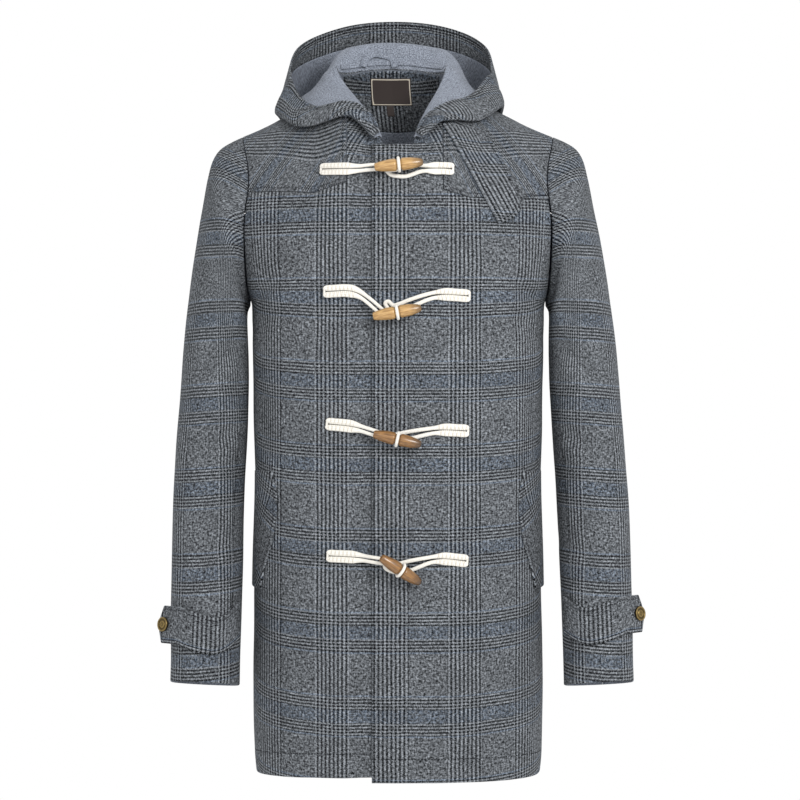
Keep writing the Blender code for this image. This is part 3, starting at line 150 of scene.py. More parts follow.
def columns(rows: Sequence[NamedTuple], key: str, *names: str) -> list[Curve]:
    """One smooth curve for each named column of a table."""
    ordered = sorted(rows, key=lambda row: getattr(row, key))
    keys = [getattr(row, key) for row in ordered]
    return [Curve(keys, [getattr(row, name) for row in ordered]) for name in names]


def blend(a, b, t):
    """The value that is t of the way from a to b."""
    return a + (b - a) * t


def eased(at, start: float, end: float):
    """0 before start and 1 after end, with a smooth rise between."""
    t = np.clip((at - start) / (end - start), 0.0, 1.0)
    return t * t * (3 - 2 * t)


def power(value, exponent: float):
    """A power that keeps the value's sign."""
    return np.sign(value) * np.abs(value) ** exponent


def unit(vectors: np.ndarray) -> np.ndarray:
    """Vectors at length one."""
    return vectors / np.maximum(np.linalg.norm(vectors, axis=-1, keepdims=True), 1e-12)


def spaced(length: float, step: float = WEAVE_GRID) -> np.ndarray:
    """Shares from 0 to 1 for points along a piece, close together near both ends.

    Args:
        length: the piece's length, in millimetres.
        step: spacing away from its ends.

    Returns:
        The rising shares.
    """
    near = np.array(EDGE_POINTS) / length
    count = max(2, round((length - 2 * ROLL) / step))
    middle = np.linspace(near[-1], 1 - near[-1], count + 1)
    return np.concatenate((near[:-1], middle, 1 - near[:-1][::-1]))


def smooth_through(knots: np.ndarray, steps: int) -> np.ndarray:
    """A smooth curve or surface through the rows of an array.

    Args:
        knots: the rows to pass through.
        steps: how many steps there are between two rows.

    Returns:
        The finer array, whose every row numbered a multiple of steps is a knot.
    """
    ends = np.concatenate(([2 * knots[0] - knots[1]], knots, [2 * knots[-1] - knots[-2]]))
    a, b, c, d = ends[:-3], ends[1:-2], ends[2:-1], ends[3:]
    layers = []
    for k in range(steps):
        t = k / steps
        bow = (2 * a - 5 * b + 4 * c - d) * t * t
        layers.append((2 * b + (c - a) * t + bow + (3 * b - a - 3 * c + d) * t**3) / 2)
    fine = np.stack(layers, axis=1).reshape(-1, *knots.shape[1:])
    return np.concatenate((fine, knots[-1:]))


def run_along(line: np.ndarray) -> np.ndarray:
    """Length from a line's start to each of its points."""
    steps = np.linalg.norm(np.diff(line, axis=0), axis=1)
    return np.concatenate(([0.0], np.cumsum(steps)))


def evened(values: np.ndarray, line: np.ndarray) -> np.ndarray:
    """Values spread again, at even lengths along the line of places that they give."""
    run = run_along(line)
    return np.interp(spaced(run[-1] / MM) * run[-1], run, values)


def picked(line: np.ndarray, shares: Sequence[float]) -> np.ndarray:
    """Points at some shares of a line's length."""
    lengths = run_along(line)
    wanted = np.clip(np.asarray(shares, float), 0.0, 1.0) * lengths[-1]
    return np.stack([np.interp(wanted, lengths, line[:, k]) for k in range(3)], axis=1)


# ------------------------------------------------------------------ the torso's surface


class Section(NamedTuple):
    """The body at one height: half width, and depth in front and behind."""

    z: float
    half: float
    front: float
    back: float


class Shoulder(NamedTuple):
    """Height of the shoulder line at a distance from the middle, for each side of it."""

    x: float
    front: float
    back: float


class Roundness(NamedTuple):
    """Exponents of the profile from chest to shoulder line, across and up."""

    x: float
    across: float
    up: float


class NeckSpot(NamedTuple):
    """A point of the neck seam in plan, from the front end round to the back."""

    x: float
    y: float


class ArmholeSpot(NamedTuple):
    """Half width of the armhole's edge at one height, in front and behind."""

    z: float
    front: float
    back: float


SECTIONS = (
    Section(z=-885, half=186, front=133, back=136),
    Section(z=-872, half=188, front=135, back=137),
    Section(z=-845, half=190.5, front=137, back=138),
    Section(z=-780, half=192, front=138, back=138),
    Section(z=-650, half=191, front=137, back=135),
    Section(z=-516, half=189, front=134, back=130),
    Section(z=-410, half=192, front=136, back=130),
    Section(z=-300, half=193, front=139, back=133),
    Section(z=-258, half=194.5, front=140, back=133),
    Section(z=-235, half=202, front=140, back=133),
    Section(z=-205, half=210, front=140, back=132),
    Section(z=-170, half=219, front=140, back=132),
    Section(z=-140, half=226, front=140, back=131),
    Section(z=-104, half=236, front=140, back=131),
    Section(z=-60, half=240, front=140, back=131),
    Section(z=120, half=240, front=140, back=131),
)
SHOULDERS = (
    Shoulder(x=0, front=5, back=99),
    Shoulder(x=27, front=0, back=94),
    Shoulder(x=40, front=4, back=87),
    Shoulder(x=49, front=9, back=79),
    Shoulder(x=60, front=14, back=70),
    Shoulder(x=73, front=18, back=58),
    Shoulder(x=90, front=17, back=38),
    Shoulder(x=112, front=9, back=18),
    Shoulder(x=130, front=1, back=4),
    Shoulder(x=150, front=-8, back=-7),
    Shoulder(x=166, front=-16, back=-16),
    Shoulder(x=183, front=-24, back=-24),
    Shoulder(x=206, front=-33.5, back=-33.5),
    Shoulder(x=240, front=-48, back=-48),
)
FRONT_ROUNDNESS = (
    Roundness(x=0, across=2.2, up=4.0),
    Roundness(x=49, across=2.2, up=4.0),
    Roundness(x=110, across=1.7, up=2.6),
    Roundness(x=240, across=1.7, up=2.6),
)
BACK_ROUNDNESS = (
    Roundness(x=0, across=2.0, up=2.6),
    Roundness(x=240, across=2.0, up=2.6),
)
NECK = (
    NeckSpot(x=20, y=-113),
    NeckSpot(x=27, y=-96),
    NeckSpot(x=38, y=-78),
    NeckSpot(x=50, y=-59),
    NeckSpot(x=60, y=-39),
    NeckSpot(x=68, y=-20),
    NeckSpot(x=72, y=-4),
    NeckSpot(x=73, y=12),
    NeckSpot(x=67, y=30),
    NeckSpot(x=50, y=46),
    NeckSpot(x=27, y=57),
    NeckSpot(x=0, y=60),
)
BACK_OF_NECK = len(NECK) - 1
SHOULDER_STATION = 7.0  # where the shoulder line meets the neck seam
ARMHOLE = (
    ArmholeSpot(z=CHEST_Z, front=194.5, back=194.5),
    ArmholeSpot(z=-235, front=196.5, back=197.5),
    ArmholeSpot(z=-205, front=198, back=199),
    ArmholeSpot(z=-170, front=198.5, back=199),
    ArmholeSpot(z=-145, front=197.5, back=198),
    ArmholeSpot(z=-124, front=194.5, back=197.5),
    ArmholeSpot(z=-104, front=192.5, back=198),
    ArmholeSpot(z=-80, front=194.5, back=199.5),
    ArmholeSpot(z=-56, front=200, back=202),
    ArmholeSpot(z=-33.5, front=206, back=206),
)
SHOULDER_X, SHOULDER_Z = 206.0, -33.5
BISECTIONS = 40
ARMHOLE_STEPS = 61


class Torso:
    """The body's surface, which the fronts, the back and the yoke are cut from."""

    def __init__(self) -> None:
        """Draw the smooth curves through the tables of sizes."""
        self.half, self.front, self.back = columns(SECTIONS, "z", "half", "front", "back")
        self.front_line, self.back_line = columns(SHOULDERS, "x", "front", "back")
        self.round_front = columns(FRONT_ROUNDNESS, "x", "across", "up")
        self.round_back = columns(BACK_ROUNDNESS, "x", "across", "up")
        self.neck_x, self.neck_y = (
            Curve(range(len(NECK)), [spot[i] for spot in NECK]) for i in range(2)
        )
        self.hole_front, self.hole_back = columns(ARMHOLE, "z", "front", "back")

    def section_depth(self, z, face):
        """Depth of the section at a height, in front or behind."""
        return np.where(np.asarray(face) == IN_FRONT, self.front(z), self.back(z))

    def depth(self, x, z, face):
        """Depth of the section at x, before the shoulders round it off."""
        share = np.minimum(1.0, np.abs(x) / self.half(z))
        return self.section_depth(z, face) * (1 - share**CORNER) ** (1 / CORNER)

    def line(self, x, face, wrap=1.0):
        """Height of the shoulder line at x. In front it rises near the line itself."""
        back = self.back_line(np.abs(x))
        rise = np.exp(-((np.abs(wrap) / NECK_RISE) ** NECK_RISE_POWER))
        front = blend(self.front_line(np.abs(x)), back, rise)
        return np.where(np.asarray(face) == IN_FRONT, front, back)

    def roundness(self, x, face):
        """The profile's exponents at x, across and up."""
        front = np.asarray(face) == IN_FRONT
        pairs = zip(self.round_front, self.round_back)
        return [np.where(front, a(np.abs(x)), b(np.abs(x))) for a, b in pairs]

    def rounding(self, x, z, face):
        """Share of the full depth that is left at a height, from 1 at the chest."""
        across, up = self.roundness(x, face)
        height = np.clip((z - CHEST_Z) / (self.line(x, face) - CHEST_Z), 0.0, 1.0)
        return (1 - height**up) ** (1 / across)

    @staticmethod
    def settled(x, y, z) -> np.ndarray:
        """Points in metres, moved by the lean of the upper coat."""
        lean = LEAN * eased(z, LEAN_FROM_Z, LEAN_TO_Z)
        return np.stack(np.broadcast_arrays(x + lean, y, z), axis=-1) * MM

    def at(self, x, z, face) -> np.ndarray:
        """The surface in front or behind, by x and height."""
        y = face * self.depth(x, z, face) * self.rounding(x, z, face)
        return self.settled(x, y, z)

    def around(self, turn, z, face) -> np.ndarray:
        """The surface by the turn round its section, 0 at +X and 180 at -X."""
        angle = np.radians(turn)
        x = self.half(z) * power(np.cos(angle), 2 / CORNER)
        depth = self.section_depth(z, face) * self.rounding(x, z, face)
        return self.settled(x, face * depth * power(np.sin(angle), 2 / CORNER), z)

    def turn_at(self, x, z):
        """The turn at which the section is at x."""
        share = np.clip(x / self.half(z), -1.0, 1.0)
        return np.degrees(np.arccos(power(share, CORNER / 2)))

    def wrapped(self, x, wrap) -> np.ndarray:
        """The surface by its wrap: -1 chest, 0 shoulder line, 1 back."""
        face = np.where(np.asarray(wrap) < 0, IN_FRONT, BEHIND)
        angle = np.radians(90 * np.abs(wrap))
        across, up = self.roundness(x, face)
        cosine = np.clip(np.cos(angle), 0.0, 1.0)
        z = blend(CHEST_Z, self.line(x, face, wrap), cosine ** (2 / up))
        return self.settled(x, face * self.depth(x, z, face) * np.sin(angle) ** (2 / across), z)

    def wrap_at_height(self, x, z, face):
        """The wrap at which the surface is at a height."""
        up = self.roundness(x, face)[1]
        height = np.clip((z - CHEST_Z) / (self.line(x, face) - CHEST_Z), 0.0, 1.0)
        return face * np.degrees(np.arccos(height ** (up / 2))) / 90

    def wrap_at_depth(self, x, y):
        """The wrap at which the surface is y away from the shoulder line."""
        x, y = np.broadcast_arrays(np.asarray(x, float), np.asarray(y, float))
        low, high = np.where(y < 0, -1.0, 0.0), np.where(y < 0, 0.0, 1.0)
        for _ in range(BISECTIONS):
            middle = (low + high) / 2
            short = self.wrapped(x, middle)[..., 1] < y * MM
            low, high = np.where(short, middle, low), np.where(short, high, middle)
        return (low + high) / 2

    def neck(self, station):
        """x and wrap of the neck seam, whose stations count from the front end."""
        x = self.neck_x(station)
        return x, self.wrap_at_depth(x, self.neck_y(station))

    def station_at(self, x, low: float = 0.0, high: float = SHOULDER_STATION):
        """The station between two at which the neck seam is x from the middle."""
        rising = self.neck_x(high) > self.neck_x(low)
        low, high = np.full(np.shape(x), low), np.full(np.shape(x), high)
        for _ in range(BISECTIONS):
            middle = (low + high) / 2
            short = (self.neck_x(middle) < np.abs(x)) == rising
            low, high = np.where(short, middle, low), np.where(short, high, middle)
        return (low + high) / 2

    def armhole_x(self, z, face):
        """Half width of the armhole's edge at a height."""
        return np.where(np.asarray(face) == IN_FRONT, self.hole_front(z), self.hole_back(z))

    def armhole_ring(self, count: int) -> np.ndarray:
        """The armhole's edge at +X: count points from the shoulder, front first."""
        halves = []
        z = np.linspace(SHOULDER_Z, CHEST_Z, ARMHOLE_STEPS)
        for face in (IN_FRONT, BEHIND):
            x = self.armhole_x(z, face)
            points = np.where(
                (x < self.half(z))[:, None], self.at(x, z, face), self.settled(x, 0.0 * z, z)
            )
            points[[0, -1], 1] = 0.0
            halves.append(picked(points, np.linspace(0, 1, count // 2 + 1)))
        return np.concatenate((halves[0], halves[1][-2:0:-1]))

    def over_shoulder(self, x, wrap, steps: int = 24):
        """Length along the cloth from the shoulder line, in metres, less in front."""
        line = [self.wrapped(x, wrap * k / steps) for k in range(steps + 1)]
        lengths = [np.linalg.norm(b - a, axis=-1) for a, b in zip(line, line[1:])]
        return np.sign(wrap) * np.sum(lengths, axis=0)


TORSO = Torso()


# ------------------------------------------------------------------ folds


class Crease(NamedTuple):
    """A soft trough or ridge between two places of a panel, in millimetres."""

    start: tuple[float, float]
    end: tuple[float, float]
    width: float
    rise: float  # below 0 in a trough
    bow: float = 0.0  # how far its middle swings to one side


STEEP_SIDE, SLACK_SIDE = 0.75, 1.25  # widths of a crease's two slopes, by its own
CREASE_STARTS, CREASE_ENDS = (-0.12, 0.35), (0.55, 1.12)  # shares of its length


def creased(across: np.ndarray, up: np.ndarray, creases: Sequence[Crease]) -> np.ndarray:
    """How far some creases lift the cloth.

    Args:
        across: places on the panel along its width, in millimetres.
        up: the same along its height.
        creases: the troughs and ridges.

    Returns:
        The lift at each place, in millimetres.
    """
    lift = np.zeros(np.broadcast(across, up).shape)
    for crease in creases:
        way = np.subtract(crease.end, crease.start)
        length = float(np.hypot(*way))
        way = way / length
        right, over = across - crease.start[0], up - crease.start[1]
        t = (right * way[0] + over * way[1]) / length
        aside = over * way[0] - right * way[1] - crease.bow * 4 * t * (1 - t)
        width = crease.width * np.where(aside > 0, SLACK_SIDE, STEEP_SIDE)
        ends = eased(t, *CREASE_STARTS) * (1 - eased(t, *CREASE_ENDS))
        lift += crease.rise * ends * np.exp(-((aside / width) ** 2))
    return lift


class Wave(NamedTuple):
    """One long, low wave of uneven cloth: lengths in millimetres along two ways."""

    across: float
    up: float
    phase: float
    height: float


WAVES = (
    Wave(across=171, up=-430, phase=0.4, height=0.34),
    Wave(across=-97, up=211, phase=2.1, height=0.22),
    Wave(across=64, up=149, phase=4.0, height=0.16),
    Wave(across=-43, up=83, phase=1.3, height=0.09),
)


def uneven(across: np.ndarray, up: np.ndarray, seed: float = 0.0) -> np.ndarray:
    """The slight unevenness of cloth that hangs, in millimetres."""
    total = np.zeros(np.broadcast(across, up).shape)
    for k, wave in enumerate(WAVES):
        turn = 2 * math.pi * (across / wave.across + up / wave.up)
        total += wave.height * np.sin(turn + wave.phase + seed * (k + 1))
    return total


# ------------------------------------------------------------------ cloth meshes


class Rim(Enum):
    """A side of a panel's grid. Rows run from first to last, and so do columns."""

    FIRST_ROW = "first row"
    LAST_ROW = "last row"
    FIRST_COLUMN = "first column"
    LAST_COLUMN = "last column"


ALL_RIMS = tuple(Rim)
CUT_MAP, STITCH_MAP = "cut", "stitch"
NO_STITCH = 1.0  # metres from a stitch line, so far that none shows


def lengths_along(places: np.ndarray, axis: int, kept: np.ndarray | None = None) -> np.ndarray:
    """Length along a grid's rows or columns, in metres, from the first point kept."""
    steps = np.linalg.norm(np.diff(places, axis=axis), axis=-1)
    if kept is not None:
        both = kept[1:] & kept[:-1] if axis == 0 else kept[:, 1:] & kept[:, :-1]
        steps = np.where(both, steps, 0.0)
    return np.insert(np.cumsum(steps, axis=axis), 0, 0.0, axis=axis)


def away_from(places: np.ndarray, middle: Sequence[float]) -> np.ndarray:
    """Unit normals of a grid of points, on the side that faces away from a point."""
    down, along = np.gradient(places, axis=0), np.gradient(places, axis=1)
    normals = unit(np.cross(down, along))
    outward = np.sum(normals * (places - np.asarray(middle)), axis=-1)
    return normals if np.mean(outward) > 0 else -normals


@dataclass
class Panel:
    """A piece of cloth as a grid of places, with its cut, its edges and its stitching.

    Attributes:
        name: the piece's name.
        places: its outer face in metres, by row and column.
        away: unit normals, out of the outer face.
        cut: each place in the cut cloth, in metres, which the check follows.
        thick: the cloth's thickness, in millimetres.
        lift: how far each place is lifted off the surface, in millimetres.
        kept: False where the cut leaves places out.
        rolled: the sides whose edge rolls under.
        pressed: the sides that meet another panel in a pressed seam.
        stitch: distance from a stitch line and place along it, in metres.
        size: the cut's width and length in metres, or None. It is not used.
    """

    name: str
    places: np.ndarray
    away: np.ndarray
    cut: np.ndarray
    thick: np.ndarray | float = CLOTH
    lift: np.ndarray | float = 0.0
    kept: np.ndarray | None = None
    rolled: tuple[Rim, ...] = ALL_RIMS
    pressed: tuple[Rim, ...] = ()
    stitch: np.ndarray | None = None
    size: tuple[float, float] | None = None

    def __post_init__(self) -> None:
        """Keep every place unless the cut says otherwise."""
        if self.kept is None:
            self.kept = np.ones(self.places.shape[:2], bool)

    def from_rim(self, rim: Rim) -> np.ndarray:
        """Distance of each place from one side of the grid, in millimetres."""
        axis = 0 if rim in (Rim.FIRST_ROW, Rim.LAST_ROW) else 1
        run = lengths_along(self.places, axis, self.kept)
        if rim in (Rim.LAST_ROW, Rim.LAST_COLUMN):
            run = (run[-1:] if axis == 0 else run[:, -1:]) - run
        return run / MM

    def edge_fall(self) -> np.ndarray:
        """How far each place falls where the cloth's edge rolls under."""
        fall = np.zeros(self.kept.shape)
        free = [rim for rim in self.rolled if rim not in self.pressed]
        rolls = (free, ROLL, np.asarray(self.thick) - EDGE_WALL)
        edges = (rolls, (self.pressed, PRESSED, PRESSED / 2))
        for rims, width, most in edges:
            if rims:
                near = np.min([self.from_rim(rim) for rim in rims], axis=0)
                t = np.clip(1 - near / width, 0.0, 1.0)
                fall = np.maximum(fall, np.minimum(most, width) * (1 - np.sqrt(1 - t * t)))
        return fall

    def topstitched(self, inset: float, *rims: Rim) -> Panel:
        """Lay a stitch line along some sides.

        Args:
            inset: how far in from the edge it runs, in millimetres.
            rims: the sides that it follows.

        Returns:
            The same panel.
        """
        reach = [self.from_rim(rim) for rim in rims]
        nearest = np.min(reach, axis=0)
        runs, rows = (lengths_along(self.places, axis, self.kept) for axis in range(2))
        crosswise = [rim in (Rim.FIRST_ROW, Rim.LAST_ROW) for rim in rims]
        which = np.argmin(reach, axis=0)
        along = np.where(np.asarray(crosswise)[which], rows, runs)
        self.stitch = np.stack(((nearest - inset) * MM, along), axis=-1)
        return self

    def layers(self) -> np.ndarray:
        """Places of the outer face and of the inner one, one list after the other."""
        up = self.away.reshape(-1, 3) * MM
        lift = np.broadcast_to(self.lift, self.kept.shape)
        outer = self.places.reshape(-1, 3) + up * (lift - self.edge_fall()).reshape(-1, 1)
        inner = self.places.reshape(-1, 3) + up * (lift - np.asarray(self.thick)).reshape(-1, 1)
        return np.concatenate((outer, inner))


def grid_mesh(name: str, rows: int, across: int, kept: np.ndarray, double: bool) -> bpy.types.Mesh:
    """A flat grid whose every point knows its number, as one sheet or a closed wall.

    Args:
        name: the mesh's name.
        rows: rows of points.
        across: points in a row.
        kept: which points the cut keeps.
        double: True for a wall with an inner face, whose points are numbered on.

    Returns:
        The mesh, whose points all wait for their places.
    """
    mesh = bmesh.new()
    spot = mesh.verts.layers.int.new("spot")
    bmesh.ops.create_grid(mesh, x_segments=across - 1, y_segments=rows - 1, size=0.5)
    for index, vert in enumerate(mesh.verts):
        vert[spot] = index
    dropped = [v for v, keep in zip(mesh.verts, kept.ravel()) if not keep]
    bmesh.ops.delete(mesh, geom=dropped, context="VERTS")
    if double:
        grown = bmesh.ops.extrude_face_region(mesh, geom=mesh.faces[:], use_keep_orig=True)
        for part in grown["geom"]:
            if isinstance(part, bmesh.types.BMVert):
                part[spot] += rows * across
    data = bpy.data.meshes.new(name)
    mesh.to_mesh(data)
    mesh.free()
    return data


def placed(data: bpy.types.Mesh, places: np.ndarray, maps: dict[str, np.ndarray]) -> np.ndarray:
    """Move a grid mesh's points to their places and lay its maps.

    Args:
        data: the mesh from grid_mesh.
        places: where each numbered point goes.
        maps: for each map's name, the pair of numbers of each point.

    Returns:
        The number of the point at each corner of the mesh's faces.
    """
    spots = np.zeros(len(data.vertices), np.int32)
    data.attributes["spot"].data.foreach_get("value", spots)
    data.vertices.foreach_set("co", places[spots].astype(np.float32).ravel())
    corners = np.zeros(len(data.loops), np.int32)
    data.loops.foreach_get("vertex_index", corners)
    for name, pairs in maps.items():
        layer = data.uv_layers.new(name=name)
        layer.data.foreach_set("uv", pairs[spots[corners]].astype(np.float32).ravel())
    data.attributes.remove(data.attributes["spot"])
    data.update()
    return spots[corners]


def add_object(data: bpy.types.Mesh, *finishes: bpy.types.Material) -> bpy.types.Object:
    """Add a mesh to the scene, shaded smooth, with its finishes."""
    data.shade_smooth()
    data.set_sharp_from_angle(angle=SHARP_TURN)
    for finish in finishes:
        data.materials.append(finish)
    made = bpy.data.objects.new(data.name, data)
    bpy.context.scene.collection.objects.link(made)
    return made


def add_panel(panel: Panel, outer: bpy.types.Material, inner: bpy.types.Material):
    """Make a cloth wall from a panel.

    Args:
        panel: the piece of cloth.
        outer: finish of its outer face and edges.
        inner: finish of its inner face.

    Returns:
        The new object.
    """
    rows, across = panel.kept.shape
    data = grid_mesh(panel.name, rows, across, panel.kept, double=True)
    cut = panel.cut.reshape(-1, 2)
    stitch = np.full_like(cut, NO_STITCH)
    if panel.stitch is not None:
        stitch = panel.stitch.reshape(-1, 2)
    off = np.full_like(cut, NO_STITCH)
    maps = {CUT_MAP: np.concatenate((cut, cut)), STITCH_MAP: np.concatenate((stitch, off))}
    corner_spots = placed(data, panel.layers(), maps)
    starts = np.zeros(len(data.polygons), np.int32)
    data.polygons.foreach_get("loop_start", starts)
    is_inner = np.minimum.reduceat(corner_spots, starts) >= rows * across
    data.polygons.foreach_set("material_index", is_inner.astype(np.int32))
    is_outer = np.maximum.reduceat(corner_spots, starts) < rows * across
    normals = np.zeros(len(data.polygons) * 3, np.float32)
    data.polygons.foreach_get("normal", normals)
    ups = panel.away.reshape(-1, 3)[corner_spots[starts] % (rows * across)]
    if np.sum((normals.reshape(-1, 3) * ups)[is_outer]) < 0:
        data.flip_normals()
    return add_object(data, outer, inner)


CORD_SIDES = 18
SEWN_FROM = 1.5  # millimetres of a pad before its stitching starts


class Pad(NamedTuple):
    """The stitched-down end of a cord: where it starts, its way and its length."""

    start: np.ndarray
    way: np.ndarray
    length: float


def add_swept(
    name: str, path: np.ndarray, ups: np.ndarray, half: np.ndarray, pad: Pad, finish
) -> bpy.types.Object:
    """A closed ring of cord, whose path comes back to its start.

    Args:
        name: the piece's name.
        path: its middle line, without the start again at its end.
        ups: for each point, the way across the cord's height.
        half: for each point, half its width and half its height, in metres.
        pad: its end that is stitched down.
        finish: its material.

    Returns:
        The new object, with a map of lengths along and round the cord, and one of
        lengths along and across its stitched end.
    """
    loop = np.concatenate((path, path[:1]))
    along = unit(np.roll(path, -1, axis=0) - np.roll(path, 1, axis=0))
    across = unit(np.cross(along, ups))
    up = np.cross(across, along)
    turns = 2 * np.pi * np.arange(CORD_SIDES + 1) / CORD_SIDES
    ring = across[:, None] * (half[:, :1] * np.cos(turns))[..., None]
    ring = path[:, None] + ring + up[:, None] * (half[:, 1:] * np.sin(turns))[..., None]
    ring = np.concatenate((ring, ring[:1]))
    run = run_along(loop)
    girth = turns * float(np.mean(half))
    cut = np.stack(np.meshgrid(run, girth, indexing="ij"), axis=-1).reshape(-1, 2)
    places = ring.reshape(-1, 3)
    run_in = (places - pad.start) @ pad.way
    aside = (places - pad.start) @ np.cross(pad.way, (0.0, -1.0, 0.0))
    within = (run_in > SEWN_FROM * MM) & (run_in < pad.length)
    stitch = np.stack((run_in, np.where(within, aside, NO_STITCH)), axis=-1)
    kept = np.ones((len(loop), CORD_SIDES + 1), bool)
    data = grid_mesh(name, len(loop), CORD_SIDES + 1, kept, double=False)
    placed(data, places, {CUT_MAP: cut, STITCH_MAP: stitch})
    return add_object(welded(data), finish)


def welded(data: bpy.types.Mesh) -> bpy.types.Mesh:
    """Join a mesh's meeting edges and turn its faces outward."""
    mesh = bmesh.new()
    mesh.from_mesh(data)
    bmesh.ops.remove_doubles(mesh, verts=mesh.verts, dist=WELD)
    bmesh.ops.recalc_face_normals(mesh, faces=mesh.faces)
    mesh.to_mesh(data)
    mesh.free()
    return data


def add_turned(
    name: str, profile: Sequence[tuple[float, float]], centre, axis, finish, steps: int = 40
) -> bpy.types.Object:
    """A piece turned about an axis.

    Args:
        name: the piece's name.
        profile: distance along the axis and radius of each point, in millimetres.
        centre: where the axis starts, in metres.
        axis: its way.
        finish: its material.
        steps: faces round it.

    Returns:
        The new object, whose points keep their coordinates along and across the axis.
    """
    axis = Vector(axis).normalized()
    side = axis.orthogonal().normalized()
    mesh = bmesh.new()
    verts = [
        mesh.verts.new(Vector(centre) + (axis * along + side * radius) * MM)
        for along, radius in profile
    ]
    edges = [mesh.edges.new(pair) for pair in zip(verts, verts[1:])]
    bmesh.ops.spin(
        mesh,
        geom=[*verts, *edges],
        cent=Vector(centre),
        axis=axis,
        angle=2 * math.pi,
        steps=steps,
        use_merge=True,
    )
    data = bpy.data.meshes.new(name)
    mesh.to_mesh(data)
    mesh.free()
    welded(data)
    frame = np.array([axis, side, axis.cross(side)])
    places = np.zeros(len(data.vertices) * 3, np.float32)
    data.vertices.foreach_get("co", places)
    own = (places.reshape(-1, 3) - np.asarray(centre)) @ frame.T
    kept = data.attributes.new(name=TURNED, type="FLOAT_VECTOR", domain="POINT")
    kept.data.foreach_set("vector", own.astype(np.float32).ravel())
    return add_object(data, finish)


# ------------------------------------------------------------------ finishes


def linear(hex_colour: str) -> tuple[float, float, float, float]:
    """A colour given as sRGB hex, as linear red, green, blue and alpha."""
    parts = [int(hex_colour[i : i + 2], 16) / 255 for i in (1, 3, 5)]
    return (*((p / 12.92) if p <= 0.04045 else ((p + 0.055) / 1.055) ** 2.4 for p in parts), 1.0)


class Speckle(NamedTuple):
    """Noise of a real size in millimetres, spread between two values."""

    size: float
    low: float = 0.0
    high: float = 1.0
    detail: float = 2.0


class Thread(NamedTuple):
    """The thread of a panel's stitch lines. Lengths are in millimetres."""

    colour: str
    half: float  # of its thickness
    gap: float  # length of a stitch and the gap after it
    sink: float  # how hard it pulls the cloth's relief down


STITCH_SHARE = 0.68  # of a stitch and its gap
GROOVE = (0.2, 2.2)  # where the groove's slope starts and ends, from the stitch line
NOISE_RANGE = (0.3, 0.7)  # values of the noise node that nearly all of it lies between


